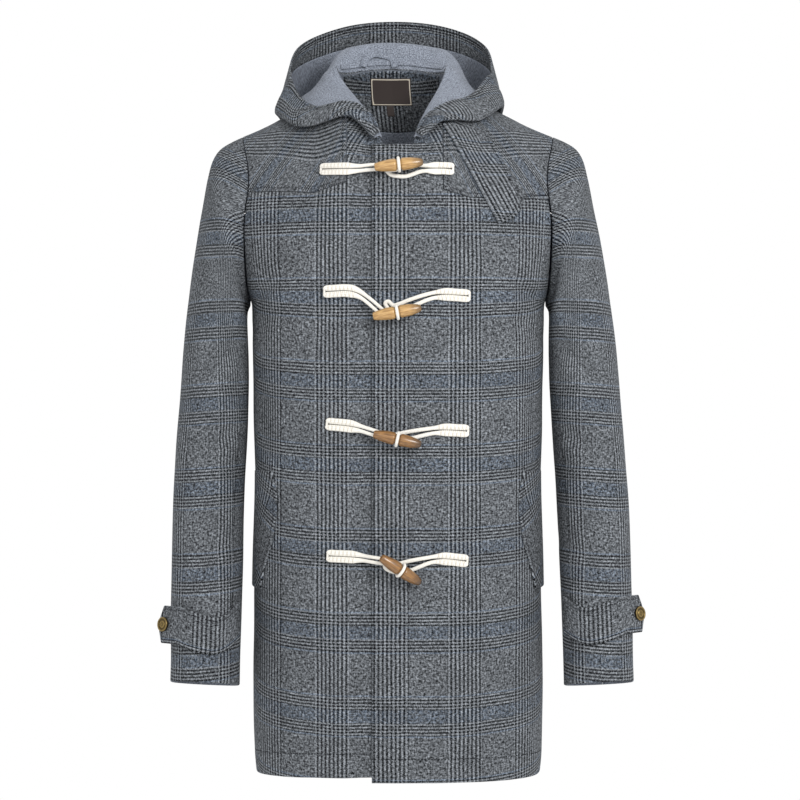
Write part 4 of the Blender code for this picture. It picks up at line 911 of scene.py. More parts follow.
class Shader:
    """A material while its nodes are laid."""

    def __init__(self, name: str) -> None:
        """Start a material with a Principled shader alone."""
        self.material = bpy.data.materials.new(name)
        self.material.use_nodes = True
        self.tree = self.material.node_tree
        self.surface = self.tree.nodes["Principled BSDF"]

    def add(self, kind: str, inputs: dict | None = None, **settings) -> bpy.types.Node:
        """Add a node with its settings, values and links.

        Args:
            kind: the node's type, without ShaderNode before it.
            inputs: for each socket, a value, or the node or socket that it is linked to.
            settings: the node's own properties.

        Returns:
            The new node.
        """
        made = self.tree.nodes.new(f"ShaderNode{kind}")
        for setting, value in settings.items():
            setattr(made, setting, value)
        self.join(made, inputs or {})
        return made

    def join(self, node: bpy.types.Node, inputs: dict) -> None:
        """Set or link a node's sockets."""
        for socket, value in inputs.items():
            if isinstance(value, bpy.types.Node):
                value = next(out for out in value.outputs if out.enabled)
            if isinstance(value, bpy.types.NodeSocket):
                self.tree.links.new(value, node.inputs[socket])
            else:
                node.inputs[socket].default_value = value

    def repeat(self, value, period: float, start: float = 0.0) -> bpy.types.Node:
        """Where a length lies in a repeat, from 0 to 1. Sizes are in millimetres."""
        period, start = period * MM, start * MM
        turned = {0: value, 1: 1 / period, 2: -start / period}
        scaled = self.add("Math", turned, operation="MULTIPLY_ADD")
        return self.add("Math", {0: scaled}, operation="FRACT")

    def stripes(self, value, period: float, share: float = 0.5, start: float = 0.0):
        """1 in the first share of each repeat of a length, or else 0."""
        place = self.repeat(value, period, start)
        return self.add("Math", {0: place, 1: share}, operation="LESS_THAN")

    def speckle(self, vector, noise: Speckle) -> bpy.types.Node:
        """Lay noise over a map."""
        grain = {"Vector": vector, "Scale": 1 / (noise.size * MM), "Detail": noise.detail}
        laid = self.add("TexNoise", grain).outputs[0]
        low, high = NOISE_RANGE
        return self.add("MapRange", {0: laid, 1: low, 2: high, 3: noise.low, 4: noise.high})

    def stitched(self, ground, height, thread: Thread) -> tuple[bpy.types.Node, bpy.types.Node]:
        """Lay a panel's stitch lines over its cloth.

        Args:
            ground: the cloth's colour.
            height: its relief.
            thread: what the lines are sewn with.

        Returns:
            The colour and the relief with the thread, and the groove that it pulls.
        """
        place = self.add("SeparateXYZ", {0: self.add("UVMap", uv_map=STITCH_MAP)})
        aside = self.add("Math", {0: place.outputs[0]}, operation="ABSOLUTE")
        dash = self.stripes(place.outputs[1], thread.gap, STITCH_SHARE)
        near = self.add("Math", {0: aside, 1: thread.half * MM}, operation="LESS_THAN")
        shown = self.add("Math", {0: near, 1: dash}, operation="MULTIPLY")
        start, end = (edge * MM for edge in GROOVE)
        fall = {0: aside, 1: start, 2: end, 3: 1.0, 4: 0.0}
        groove = self.add("MapRange", fall, interpolation_type="SMOOTHSTEP")
        sewn = {0: shown, 6: ground, 7: linear(thread.colour)}
        sunk = {0: groove, 1: -thread.sink, 2: height}
        return (
            self.add("Mix", sewn, data_type="RGBA"),
            self.add("Math", sunk, operation="MULTIPLY_ADD"),
        )

    def finished(self, colour, height=None, depth: float = 0.0, **looks: float):
        """Set the surface and end the material.

        Args:
            colour: its base colour.
            height: what its relief follows, if it has any.
            depth: the relief's depth, in millimetres.
            looks: more of the surface's inputs, with _ for each space in a name.

        Returns:
            The material.
        """
        inputs = {name.replace("_", " "): value for name, value in looks.items()}
        if height is not None:
            relief = {"Strength": 1.0, "Distance": depth * MM, "Height": height}
            inputs["Normal"] = self.add("Bump", relief)
        self.join(self.surface, {"Base Color": colour, **inputs})
        return self.material


@dataclass(frozen=True)
class CheckedWool:
    """Woollen twill woven in a grey check and brushed, so its lines are soft and hairy.

    The real threads are under a millimetre apart, too fine to show from where the camera
    stands, so the twill is drawn at 2.7 mm. The check itself is at its real size.
    """

    name: str = "brushed_woollen_twill"
    dark: str = "#090b0d"
    light: str = "#7e8287"
    blue: str = "#6c7888"
    hair: str = "#2c3034"
    hair_share: float = 0.08
    thread: Thread = Thread("#15171b", half=0.5, gap=4.2, sink=5.0)
    stripe_repeat: float = 94.0
    stripe_band: float = 45.0
    stripe_start: float = -30.0
    stripe_pitch: float = 5.4
    group_repeat: float = 105.5
    group_start: float = -123.0
    group_part: float = 16.3  # height of each set of lines and of the blue band between
    line_pitch: float = 4.1
    light_line: float = 0.44  # share of the pitch that the light line of each pair takes
    border: float = 1.9  # thickness of the pale line that edges each group
    twill_pitch: float = 2.7
    even: float = 0.6  # how far the twill gives way to an even mix of its two yarns
    lean: float = 0.3  # how much more of the mix is warp in the stripes, and weft in the lines
    wander: float = 1.6
    wander_scale: float = 22.0  # turns of that drift in a metre
    fray: float = 1.1
    fray_scale: float = 380.0
    streak: float = 0.4  # how drawn out the hairs are along their thread
    grain: Speckle = Speckle(2.1, low=-0.25, high=1.25, detail=3.0)
    marl: Speckle = Speckle(2.5, low=0.15, high=1.85, detail=3.0)
    patches: Speckle = Speckle(38.0, low=0.88, high=1.12)

    def make(self) -> bpy.types.Material:
        """Lay its nodes on the panel's cut map."""
        s = Shader(self.name)
        cut = s.add("UVMap", uv_map=CUT_MAP)
        laid = cut
        for reach, scale in ((self.wander, self.wander_scale), (self.fray, self.fray_scale)):
            drift = s.add("TexNoise", {"Vector": cut, "Scale": scale, "Detail": 1.0})
            moved = {0: drift.outputs[1], 1: (reach * MM,) * 3, 2: laid}
            laid = s.add("VectorMath", moved, operation="MULTIPLY_ADD")
        place = s.add("SeparateXYZ", {0: laid})
        across, up = place.outputs[0], place.outputs[1]
        down = s.add("Math", {0: self.group_start * MM, 1: up}, operation="SUBTRACT")
        hairy_ways = []
        for way in ((self.streak, 1.0, 1.0), (1.0, self.streak, 1.0)):
            drawn = s.add("VectorMath", {0: cut, 1: way}, operation="MULTIPLY")
            hairy_ways.append(s.speckle(drawn, self.grain))
        weft_grain, warp_grain = hairy_ways
        share = self.stripe_band / self.stripe_repeat
        band = s.stripes(across, self.stripe_repeat, share, self.stripe_start)
        stripe = s.stripes(across, self.stripe_pitch)
        warp_tone = s.add("Mix", {0: band, 2: warp_grain, 3: stripe})
        part = s.repeat(down, self.group_repeat)
        share = self.group_part / self.group_repeat  # a group is three such parts high
        group = s.add("Math", {0: part, 1: 3 * share}, operation="LESS_THAN")
        blue = s.add("Math", {0: part, 1: 1.5 * share, 2: 0.5 * share}, operation="COMPARE")
        lined = s.add("Math", {0: group, 1: blue}, operation="SUBTRACT")
        dark_part = (1 - self.light_line) * self.line_pitch
        light_line = s.stripes(down, self.line_pitch, self.light_line, dark_part)
        weft_tone = s.add("Mix", {0: lined, 2: weft_grain, 3: light_line})
        edges = []
        for start in (-self.border, 3 * self.group_part):
            thin = self.border / self.group_repeat
            edges.append(s.stripes(down, self.group_repeat, thin, start))
        border = s.add("Math", {0: edges[0], 1: edges[1]}, operation="ADD")
        weft_tone = s.add("Mix", {0: border, 2: weft_tone, 3: 1.0})
        tinted = s.add("Math", {0: blue, 1: border}, operation="ADD")
        dark, light = linear(self.dark), linear(self.light)
        warp = s.add("Mix", {0: warp_tone, 6: dark, 7: light}, data_type="RGBA")
        pale = s.add("Mix", {0: tinted, 6: light, 7: linear(self.blue)}, data_type="RGBA")
        weft = s.add("Mix", {0: weft_tone, 6: dark, 7: pale}, data_type="RGBA")
        slant = s.add("Math", {0: across, 1: up}, operation="ADD")
        over = s.stripes(slant, self.twill_pitch)
        tighter = s.add("Math", {0: band, 1: lined}, operation="SUBTRACT")
        mixed = s.add("Math", {0: tighter, 1: self.lean, 2: 0.5}, operation="MULTIPLY_ADD")
        shows = s.add("Mix", {0: self.even, 2: over, 3: mixed})
        woven = s.add("Mix", {0: shows, 6: weft, 7: warp}, data_type="RGBA")
        marl, patch = s.speckle(cut, self.marl), s.speckle(cut, self.patches)
        haze = {0: self.hair_share, 6: woven, 7: linear(self.hair)}
        hairy = s.add("Mix", haze, data_type="RGBA")
        tone = s.add("Math", {0: marl, 1: patch}, operation="MULTIPLY")
        mottled = s.add("VectorMath", {0: hairy, 3: tone}, operation="SCALE")
        height = s.add("Math", {0: marl, 1: over}, operation="ADD")
        matt = {"Roughness": 0.95, "Specular_IOR_Level": 0.08, "Sheen_Weight": 0.02}
        return s.finished(*s.stitched(mottled, height, self.thread), depth=0.16, **matt)


@dataclass(frozen=True)
class BrushedLining:
    """Soft brushed marl: fine pale and dark hairs that blur to a blue grey."""

    name: str = "brushed_cotton_marl"
    pale: str = "#9aa0ab"
    deep: str = "#474d58"
    thread: Thread = Thread("#6d7480", half=0.45, gap=3.6, sink=4.0)
    hairs: Speckle = Speckle(2.0, detail=3.0)
    cloud: Speckle = Speckle(14.0, low=0.88, high=1.1)

    def make(self) -> bpy.types.Material:
        """Lay its nodes on the panel's cut map."""
        s = Shader(self.name)
        cut = s.add("UVMap", uv_map=CUT_MAP)
        hairs, cloud = s.speckle(cut, self.hairs), s.speckle(cut, self.cloud)
        tones = {0: hairs, 6: linear(self.deep), 7: linear(self.pale)}
        marl = s.add("Mix", tones, data_type="RGBA")
        mottled = s.add("VectorMath", {0: marl, 3: cloud}, operation="SCALE")
        matt = {"Roughness": 0.96, "Specular_IOR_Level": 0.1, "Sheen_Weight": 0.06}
        return s.finished(*s.stitched(mottled, hairs, self.thread), depth=0.12, **matt)


@dataclass(frozen=True)
class WovenLabel:
    """A smooth woven patch in dark brown, with a thin pale line inside its edge."""

    name: str = "woven_label_satin"
    ground: str = "#443b38"
    rib: str = "#3a322f"
    outline: str = "#e0d6c4"
    outline_half: float = 0.6
    rib_pitch: float = 1.1
    weave: Speckle = Speckle(0.8)

    def make(self) -> bpy.types.Material:
        """Lay its nodes: the line is on the piece's stitch map."""
        s = Shader(self.name)
        cut = s.add("UVMap", uv_map=CUT_MAP)
        place = s.add("SeparateXYZ", {0: cut})
        ribs = s.stripes(place.outputs[1], self.rib_pitch)
        tones = {0: ribs, 6: linear(self.ground), 7: linear(self.rib)}
        ground = s.add("Mix", tones, data_type="RGBA")
        edge = s.add("SeparateXYZ", {0: s.add("UVMap", uv_map=STITCH_MAP)})
        aside = s.add("Math", {0: edge.outputs[0]}, operation="ABSOLUTE")
        line = s.add("Math", {0: aside, 1: self.outline_half * MM}, operation="LESS_THAN")
        outlined = {0: line, 6: ground, 7: linear(self.outline)}
        colour = s.add("Mix", outlined, data_type="RGBA")
        return s.finished(colour, s.speckle(cut, self.weave), depth=0.05, Roughness=0.62)


@dataclass(frozen=True)
class CottonCord:
    """Braided cotton, off white and matt. Its strands cross 3.4 mm apart. The hollows between them
    are painted darker as shade, and the zigzag stitching on its pads is painted darker than the
    cord as shade of the puckers that it pulls.
    """

    name: str = "braided_cotton"
    pale: str = "#ebe8e1"
    # deep: painted shade, the colour of the hollows between the strands
    deep: str = "#c3bdb1"
    # the zigzag thread is real; its tone, darker than the cord, is painted shade of the puckers
    # that it pulls
    thread: str = "#cac3b6"
    strand: float = 3.4
    zigzag: float = 5.0  # length of one turn there and back of the stitching
    reach: float = 6.4  # how far to each side of the pad's middle it goes
    thread_half: float = 0.35
    fluff: Speckle = Speckle(0.9, low=0.8)

    def make(self) -> bpy.types.Material:
        """Lay its nodes on the cord's map of length and girth."""
        s = Shader(self.name)
        cut = s.add("UVMap", uv_map=CUT_MAP)
        place = s.add("SeparateXYZ", {0: cut})
        along, round_ = place.outputs[0], place.outputs[1]
        turns = 2 * math.pi / (self.strand * MM)
        waves = []
        for way in ("ADD", "SUBTRACT"):
            slant = s.add("Math", {0: along, 1: round_}, operation=way)
            turned = s.add("Math", {0: slant, 1: turns}, operation="MULTIPLY")
            waves.append(s.add("Math", {0: turned}, operation="SINE"))
        braid = s.add("Math", {0: waves[0], 1: waves[1]}, operation="MULTIPLY")
        # painted shade: darker in the hollows where the strands cross under, lighter on their
        # crowns; fluff adds random tone
        tone = s.add("MapRange", {0: braid, 1: -1.0, 2: 0.5, 3: 0.35, 4: 1.0})
        fluff = s.speckle(cut, self.fluff)
        shade = s.add("Math", {0: tone, 1: fluff}, operation="MULTIPLY")
        tones = {0: shade, 6: linear(self.deep), 7: linear(self.pale)}
        braided = s.add("Mix", tones, data_type="RGBA")
        pad = s.add("SeparateXYZ", {0: s.add("UVMap", uv_map=STITCH_MAP)})
        fold = self.zigzag / 2 * MM
        swing = s.add("Math", {0: pad.outputs[0], 1: fold}, operation="PINGPONG")
        reach = 2 * self.reach * MM / fold
        line = {0: swing, 1: reach, 2: -self.reach * MM}
        target = s.add("Math", line, operation="MULTIPLY_ADD")
        off = {0: pad.outputs[1], 1: target, 2: self.thread_half * MM * reach}
        thread = s.add("Math", off, operation="COMPARE")
        # the thread's darker colour stands for painted shade of the puckers
        sewn = {0: thread, 6: braided, 7: linear(self.thread)}
        height = s.add("Math", {0: thread, 1: -0.8, 2: shade}, operation="MULTIPLY_ADD")
        colour = s.add("Mix", sewn, data_type="RGBA")
        return s.finished(colour, height, depth=0.5, Roughness=0.88, Sheen_Weight=0.15)


@dataclass(frozen=True)
class ToggleWood:
    """Turned hardwood with a wood stain under wax: fine grain along it under a soft gloss, and
    painted shade that darkens it towards its end at +X.
    """

    name: str
    pale: str
    deep: str
    end: str  # of its rounded end at +X, painted darker there as shade
    painted_shade_along: tuple[float, float] = (16.0, 31.0)  # from where the painted shade starts to the tip
    drawn: float = 0.12  # how drawn out the grain is along it
    grain: Speckle = Speckle(1.6, detail=4.0)

    def make(self) -> bpy.types.Material:
        """Lay its nodes on the piece's own turned coordinates, along X."""
        s = Shader(self.name)
        own = s.add("Attribute", attribute_name=TURNED)
        drawn = {0: own.outputs["Vector"], 1: (self.drawn, 1.0, 1.0)}
        long = s.add("VectorMath", drawn, operation="MULTIPLY")
        grain = s.speckle(long, self.grain)
        tones = {0: grain, 6: linear(self.deep), 7: linear(self.pale)}
        wood = s.add("Mix", tones, data_type="RGBA")
        place = s.add("SeparateXYZ", {0: own.outputs["Vector"]})
        start, tip = (along * MM for along in self.painted_shade_along)
        # painted shade: a mask that rises from 0 to 0.9 towards the tip at +X and blends in the
        # end colour
        dark = {0: place.outputs[0], 1: start, 2: tip, 3: 0.0, 4: 0.9}
        painted_end_shade = {0: s.add("MapRange", dark), 6: wood, 7: linear(self.end)}
        waxed = {"Roughness": 0.34, "Coat_Weight": 0.35, "Coat_Roughness": 0.18}
        return s.finished(s.add("Mix", painted_end_shade, data_type="RGBA"), grain, depth=0.06, **waxed)


@dataclass(frozen=True)
class AgedBrass:
    """Cast brass, aged dark in its hollows and rubbed bright on its relief."""

    name: str = "cast_aged_brass"
    bright: str = "#a08a58"
    dark: str = "#3a3122"
    worn: tuple[float, float] = (2.9, 4.4)  # heights between which it goes from dark to bright
    spots: Speckle = Speckle(1.1, low=0.4)

    def make(self) -> bpy.types.Material:
        """Lay its nodes: height along the button's axis tells relief from hollow."""
        s = Shader(self.name)
        own = s.add("Attribute", attribute_name=TURNED)
        place = s.add("SeparateXYZ", {0: own.outputs["Vector"]})
        low, high = (height * MM for height in self.worn)
        worn = s.add("MapRange", {0: place.outputs[0], 1: low, 2: high, 3: 0.0, 4: 1.0})
        spots = s.speckle(own.outputs["Vector"], self.spots)
        rubbed = s.add("Math", {0: worn, 1: spots}, operation="MULTIPLY")
        tones = {0: rubbed, 6: linear(self.dark), 7: linear(self.bright)}
        colour = s.add("Mix", tones, data_type="RGBA")
        return s.finished(colour, spots, depth=0.08, Metallic=1.0, Roughness=0.42)


@dataclass(frozen=True)
class StudioPaper:
    """Matt white background paper, which shows only soft shade."""

    name: str = "background_paper"
    tone: str = "#fbfbfb"

    def make(self) -> bpy.types.Material:
        """Set its colour and matt surface."""
        return Shader(self.name).finished(linear(self.tone), Roughness=1.0)


class Finishes:
    """Every finish of the coat, made once."""

    def __init__(self) -> None:
        """Make the materials."""
        self.wool = CheckedWool().make()
        self.lining = BrushedLining().make()
        self.label = WovenLabel().make()
        self.cord = CottonCord().make()
        # The third colour of each wood is the painted shade at its toggle's end at +X.
        light, dark = ("#c09a60", "#8c673a", "#4e371f"), ("#946a38", "#5d3e1d", "#2c1c0e")
        self.light_wood = ToggleWood("waxed_light_hardwood", *light).make()
        self.dark_wood = ToggleWood("waxed_dark_hardwood", *dark).make()
        self.brass = AgedBrass().make()


def dressed(piece: bpy.types.Object, slot: Slot, *nodes: str) -> bpy.types.Object:
    """Put a piece on the coat in place of its solids.

    Args:
        piece: the finished piece.
        slot: the record's material slot. It is not used.
        nodes: the solids that it stands for.

    Returns:
        The same piece.
    """
    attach(piece, BODY)
    if nodes:
        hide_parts(*nodes)
    LOG.info("%s: %d faces", piece.name, len(piece.data.polygons))
    return piece


def cloth(
    panel: Panel,
    outer: bpy.types.Material,
    inner: bpy.types.Material,
    slot: Slot,
) -> bpy.types.Object:
    """Make a panel and put it in place of the solid of its name.

    Args:
        panel: the piece of cloth.
        outer: finish of its outer face.
        inner: finish of its inner face.
        slot: the record's material slot.

    Returns:
        The new piece.
    """
    piece = dressed(add_panel(panel, outer, inner), slot, panel.name.removesuffix("_cloth"))
    return piece


# ------------------------------------------------------------------ fronts and back


class SeamSpot(NamedTuple):
    """A corner of the yoke's lower seam in front."""

    x: float
    z: float


YOKE_SEAM = {
    Hand.RIGHT: (SeamSpot(66, -107), SeamSpot(107, -119), SeamSpot(187, -114)),
    Hand.LEFT: (SeamSpot(58, -117), SeamSpot(90, -126), SeamSpot(187, -124)),
}
HEM_SIDE, HEM_FRONT, HEM_UNDER, HEM_BACK = -873.0, -866.0, -860.0, -872.0
BODY_FOOT_Z, BODY_TOP_Z = -780.0, -145.0
YOKE_BACK_Z = -165.0
FRONT_TOP_Z = -57.0  # top edge of the fronts between the hood's two ends
COVERED_TOP = 8.0  # how much lower it is where the other front covers it
HEM_STITCH = 31.0
SETTLED = -0.8  # panels of the body lie this much below their solids' face, at most


def legs(*lines: np.ndarray) -> np.ndarray:
    """Several lines of shares or places joined to one, without their shared ends."""
    return np.concatenate([line[:-1] for line in lines[:-1]] + [lines[-1]])


def seam_line(hand: Hand) -> tuple[np.ndarray, np.ndarray]:
    """x, as if at +X, and z of the yoke's lower seam in front, inner edge first."""
    inner, bend, corner = YOKE_SEAM[hand]
    out = float(TORSO.armhole_x(corner.z, IN_FRONT))
    first, second = spaced(bend.x - inner.x), spaced(out - bend.x)
    x = legs(blend(inner.x, bend.x, first), blend(bend.x, out, second))
    return x, np.interp(x, (inner.x, bend.x, out), (inner.z, bend.z, corner.z))


def first_turn(z, face):
    """Turn of a panel's edge at +X: half a seam, or the armhole."""
    depth = TORSO.section_depth(z, face)
    seam = np.degrees(np.arcsin((SEAM / 2 / depth) ** (CORNER / 2)))
    return np.where(z > CHEST_Z, TORSO.turn_at(TORSO.armhole_x(z, face), z), seam)


def front_top(hand: Hand, x: np.ndarray) -> np.ndarray:
    """Wrap of a front's top edge: the neck seam, and level between the hood's ends."""
    covered = (hand is Hand.RIGHT) & (x > 0)
    level = TORSO.wrap_at_height(x, FRONT_TOP_Z - COVERED_TOP * covered, IN_FRONT)
    under_hood = TORSO.neck(TORSO.station_at(np.abs(x)))[1]
    return np.where(hand.value * x <= NECK[0].x, level, under_hood)


def body_levels(*stops: float) -> np.ndarray:
    """Heights of a body panel's rows, close together near each of its stops."""
    pairs = zip(stops, stops[1:])
    return legs(*(blend(low, high, spaced(high - low, 6.0)) for low, high in pairs))


def body_heights(levels: np.ndarray, turns: np.ndarray, hem_middle: float) -> np.ndarray:
    """Height of each point of a body panel, whose lowest rows follow its hem.

    Args:
        levels: the rows' own heights, from the hem up.
        turns: turn of each point.
        hem_middle: the hem's height at the middle of the front or the back.

    Returns:
        The heights, by row and column.
    """
    hem = blend(HEM_SIDE, hem_middle, np.sin(np.radians(turns[0])))
    foot = np.clip((levels[:, None] - levels[0]) / (BODY_FOOT_Z - levels[0]), 0.0, 1.0)
    return np.where(foot < 1, blend(hem, BODY_FOOT_Z, foot), levels[:, None])


STRIP_GAP = 2.5 * SEAM  # between the yoke's inner edge and the strip beside it
TOP_ROWS, STRIP_HEIGHT = 30.0, 60.0  # heights of the rows below the seam and of the strip
LAP_SINKS = (40, 4)  # from how far to how near the lap's edge the front under it sinks


@dataclass(frozen=True)
class Front:
    """One front, from its side seam to its front edge, with a strip up to the neck."""

    hand: Hand
    edge_x: float
    hem: float  # height of its hem at the middle
    shift: float  # how far its check is moved round the body
    creases: tuple[Crease, ...]

    def turns(self, z: np.ndarray, shares: np.ndarray, strip: np.ndarray) -> np.ndarray:
        """Turn of each column at some heights, from the side to the front edge."""
        start = first_turn(z, IN_FRONT)
        start = start if self.hand is Hand.LEFT else 180 - start
        inner_x = self.hand.value * YOKE_INNER_X[self.hand.value]
        middle, end = TORSO.turn_at(inner_x, z), TORSO.turn_at(self.edge_x, z)
        wide = blend(start[:, None], middle[:, None], shares)
        return np.concatenate((wide, blend(middle[:, None], end[:, None], strip)), axis=1)

    def panel(self) -> Panel:
        """Work out its places, its cut and its folds."""
        side = self.hand.value
        x, z = (line[::-1] for line in seam_line(self.hand))
        seam_turns = TORSO.turn_at(side * x, z)
        shares = (seam_turns[:-1] - seam_turns[0]) / (seam_turns[-1] - seam_turns[0])
        inner_x = side * (YOKE_INNER_X[side] - STRIP_GAP)
        strip = spaced(abs(self.edge_x - inner_x))
        xs = blend(inner_x, self.edge_x, strip)
        base_z = YOKE_SEAM[self.hand][0].z - SEAM
        levels = body_levels(HEM_FRONT, BODY_FOOT_Z, CHEST_Z, UNDERARM_Z, BODY_TOP_Z)
        turns = self.turns(levels, shares, strip)
        heights = body_heights(levels, turns, self.hem)
        rise = spaced(TOP_ROWS, FINE_GRID)[1:, None]
        top_turns = np.concatenate((seam_turns[:-1], TORSO.turn_at(xs, base_z)))
        top_z = np.concatenate((z[:-1], np.full(len(xs), base_z + SEAM))) - SEAM
        turns = np.concatenate((turns, blend(turns[-1], top_turns, rise)))
        heights = np.concatenate((heights, blend(BODY_TOP_Z, top_z, rise)))
        lower = TORSO.around(turns, heights, IN_FRONT)
        all_x = np.concatenate((side * x[:-1], xs))
        base = TORSO.wrap_at_height(all_x, top_z, IN_FRONT)
        climb = spaced(STRIP_HEIGHT)[1:, None]
        upper = TORSO.wrapped(all_x, blend(base, front_top(self.hand, all_x), climb))
        places = np.concatenate((lower, upper))
        kept = np.ones(places.shape[:2], bool)
        kept[len(lower) :, : len(x) - 1] = False
        risen, along = (lengths_along(places, axis, kept) for axis in range(2))
        from_edge = side * (along[:, -1:] - along)
        u = (self.edge_x + self.shift) * MM + from_edge
        v = BODY_TOP_Z * MM + risen - risen[len(levels) - 1]
        across, up = places[..., 0] / MM, places[..., 2] / MM
        lift = np.minimum(creased(across, up, self.creases), 0.0)
        lift = lift + SETTLED + uneven(across, up, side)
        if self.hand is Hand.RIGHT:
            lift = lift - LAP_RECESS * eased(across, *np.subtract(LAP_EDGE_X, LAP_SINKS))
        made = Panel(
            name=f"front_{self.hand.word}_cloth",
            places=places,
            away=away_from(places, COAT_MIDDLE),
            cut=np.stack((u, v), axis=-1),
            lift=lift,
            kept=kept,
            pressed=(Rim.FIRST_COLUMN,),
            size=(abs(float(np.ptp(u))), float(np.ptp(v[:, -1]))),
        )
        return made.topstitched(HEM_STITCH, Rim.FIRST_ROW)


FRONTS = (
    Front(
        hand=Hand.RIGHT,
        edge_x=UNDER_EDGE_X,
        hem=HEM_UNDER,
        shift=-18.5,
        creases=(
            Crease((-192, -268), (-122, -205), width=9, rise=-3.4, bow=4),
            Crease((-190, -300), (-130, -262), width=10, rise=-2.2, bow=5),
            Crease((-178, -345), (-170, -470), width=13, rise=-2.6),
            Crease((-100, -700), (-112, -880), width=22, rise=-3.0),
            Crease((-55, -245), (-140, -330), width=11, rise=-1.5, bow=-6),
            Crease((-58, -575), (-150, -520), width=12, rise=-1.4, bow=5),
        ),
    ),
    Front(
        hand=Hand.LEFT,
        edge_x=LAP_EDGE_X,
        hem=HEM_FRONT,
        shift=0.0,
        creases=(
            Crease((192, -268), (118, -212), width=9, rise=-3.6, bow=-4),
            Crease((190, -305), (134, -270), width=10, rise=-2.2, bow=-5),
            Crease((176, -340), (168, -480), width=13, rise=-2.6),
            Crease((118, -690), (134, -880), width=24, rise=-3.2),
            Crease((20, -720), (12, -880), width=18, rise=-1.6),
            Crease((50, -255), (140, -340), width=11, rise=-1.5, bow=6),
            Crease((52, -585), (146, -520), width=12, rise=-1.4, bow=-5),
        ),
    ),
)
BACK_CREASES = (
    Crease((-40, -240), (-60, -520), width=20, rise=-2.4),
    Crease((70, -300), (48, -600), width=22, rise=-2.2),
    Crease((-120, -560), (-136, -880), width=26, rise=-3.0),
    Crease((30, -640), (44, -880), width=24, rise=-2.4),
    Crease((-190, -280), (-110, -230), width=11, rise=-2.6),
    Crease((190, -280), (110, -230), width=11, rise=-2.6),
)


BACK_WIDTH = 500.0  # along the cloth, which sets how many columns it has


def back_panel() -> Panel:
    """The back, in one piece below the yoke."""
    levels = body_levels(HEM_BACK, BODY_FOOT_Z, CHEST_Z, UNDERARM_Z, YOKE_BACK_Z - SEAM)
    start = first_turn(levels, BEHIND)[:, None]
    turns = blend(start, 180 - start, spaced(BACK_WIDTH))
    places = TORSO.around(turns, body_heights(levels, turns, HEM_BACK), BEHIND)
    along = lengths_along(places, 1)
    across, up = places[..., 0] / MM, places[..., 2] / MM
    lift = np.minimum(creased(across, up, BACK_CREASES), 0.0) + SETTLED
    made = Panel(
        name="back_cloth",
        places=places,
        away=away_from(places, COAT_MIDDLE),
        cut=np.stack((along[:, -1:] / 2 - along, places[..., 2]), axis=-1),
        lift=lift + uneven(across, up, 2.0),
        pressed=(Rim.FIRST_COLUMN, Rim.LAST_COLUMN, Rim.LAST_ROW),
    )
    return made.topstitched(HEM_STITCH, Rim.FIRST_ROW)


class Spoke(NamedTuple):
    """Where a line of the yoke starts on the neck seam, by its distance from there."""

    reach: float
    station: float


FRONT_SEAM_STATION, BEND_SHARE = 5.9, 3 / 11
FRONT_HOLE = (
    Spoke(-124, 5.9),
    Spoke(-80, 6.3),
    Spoke(-56, 6.7),
    Spoke(SHOULDER_Z, SHOULDER_STATION),
)
BACK_HOLE = (
    Spoke(YOKE_BACK_Z, 8.6),
    Spoke(-125, 8.2),
    Spoke(-90, 7.8),
    Spoke(-60, 7.4),
    Spoke(SHOULDER_Z, SHOULDER_STATION),
)
BACK_SEAM_SPOKES = (
    Spoke(0, 11.0),
    Spoke(44, 10.5),
    Spoke(90, 9.9),
    Spoke(145, 9.2),
    Spoke(198, 8.6),
)
YOKE_STITCH = 4.5
YOKE_CHECK = (22.0, 30.0)  # how far its check is moved across and along
YOKE_SLOPE = (1.08, 1.2)  # how much longer its cloth is than its plan, both ways
YOKE_REACH = 150.0  # from the neck to its edge, which sets how many rows it has
YOKE_SETTLED = -0.4
YOKE_FLAT = (0.52, 0.46)  # metres: a round size that is given, not worked out from its cut


def yoke_half(hand: Hand) -> tuple[np.ndarray, np.ndarray, np.ndarray, int]:
    """Station, x and wrap of the yoke's edge from its front corner to the middle back.

    The last number is how many of its points are in front, below the armhole.
    """
    inner, bend, corner = YOKE_SEAM[hand]
    x, z = seam_line(hand)
    share = np.interp(x, (inner.x, bend.x, x[-1]), (0.0, BEND_SHARE, 1.0))
    station = blend(TORSO.station_at(inner.x), FRONT_SEAM_STATION, share)
    fronts = len(x)
    wrap = TORSO.wrap_at_height(x, z, IN_FRONT)
    up = blend(corner.z, SHOULDER_Z, spaced(SHOULDER_Z - corner.z))
    up_x = TORSO.armhole_x(up, IN_FRONT)
    down = blend(SHOULDER_Z, YOKE_BACK_Z, spaced(SHOULDER_Z - YOKE_BACK_Z))
    down_x = TORSO.armhole_x(down, BEHIND)
    in_x = blend(down_x[-1], 0.0, spaced(down_x[-1]))
    stations = legs(
        station,
        np.interp(up, *zip(*FRONT_HOLE)),
        np.interp(down, *zip(*BACK_HOLE)),
        np.interp(in_x, *zip(*BACK_SEAM_SPOKES)),
    )
    wraps = legs(
        wrap,
        TORSO.wrap_at_height(up_x, up, IN_FRONT),
        TORSO.wrap_at_height(down_x, down, BEHIND),
        TORSO.wrap_at_height(in_x, np.full_like(in_x, YOKE_BACK_Z), BEHIND),
    )
    return stations, legs(x, up_x, down_x, in_x), wraps, fronts


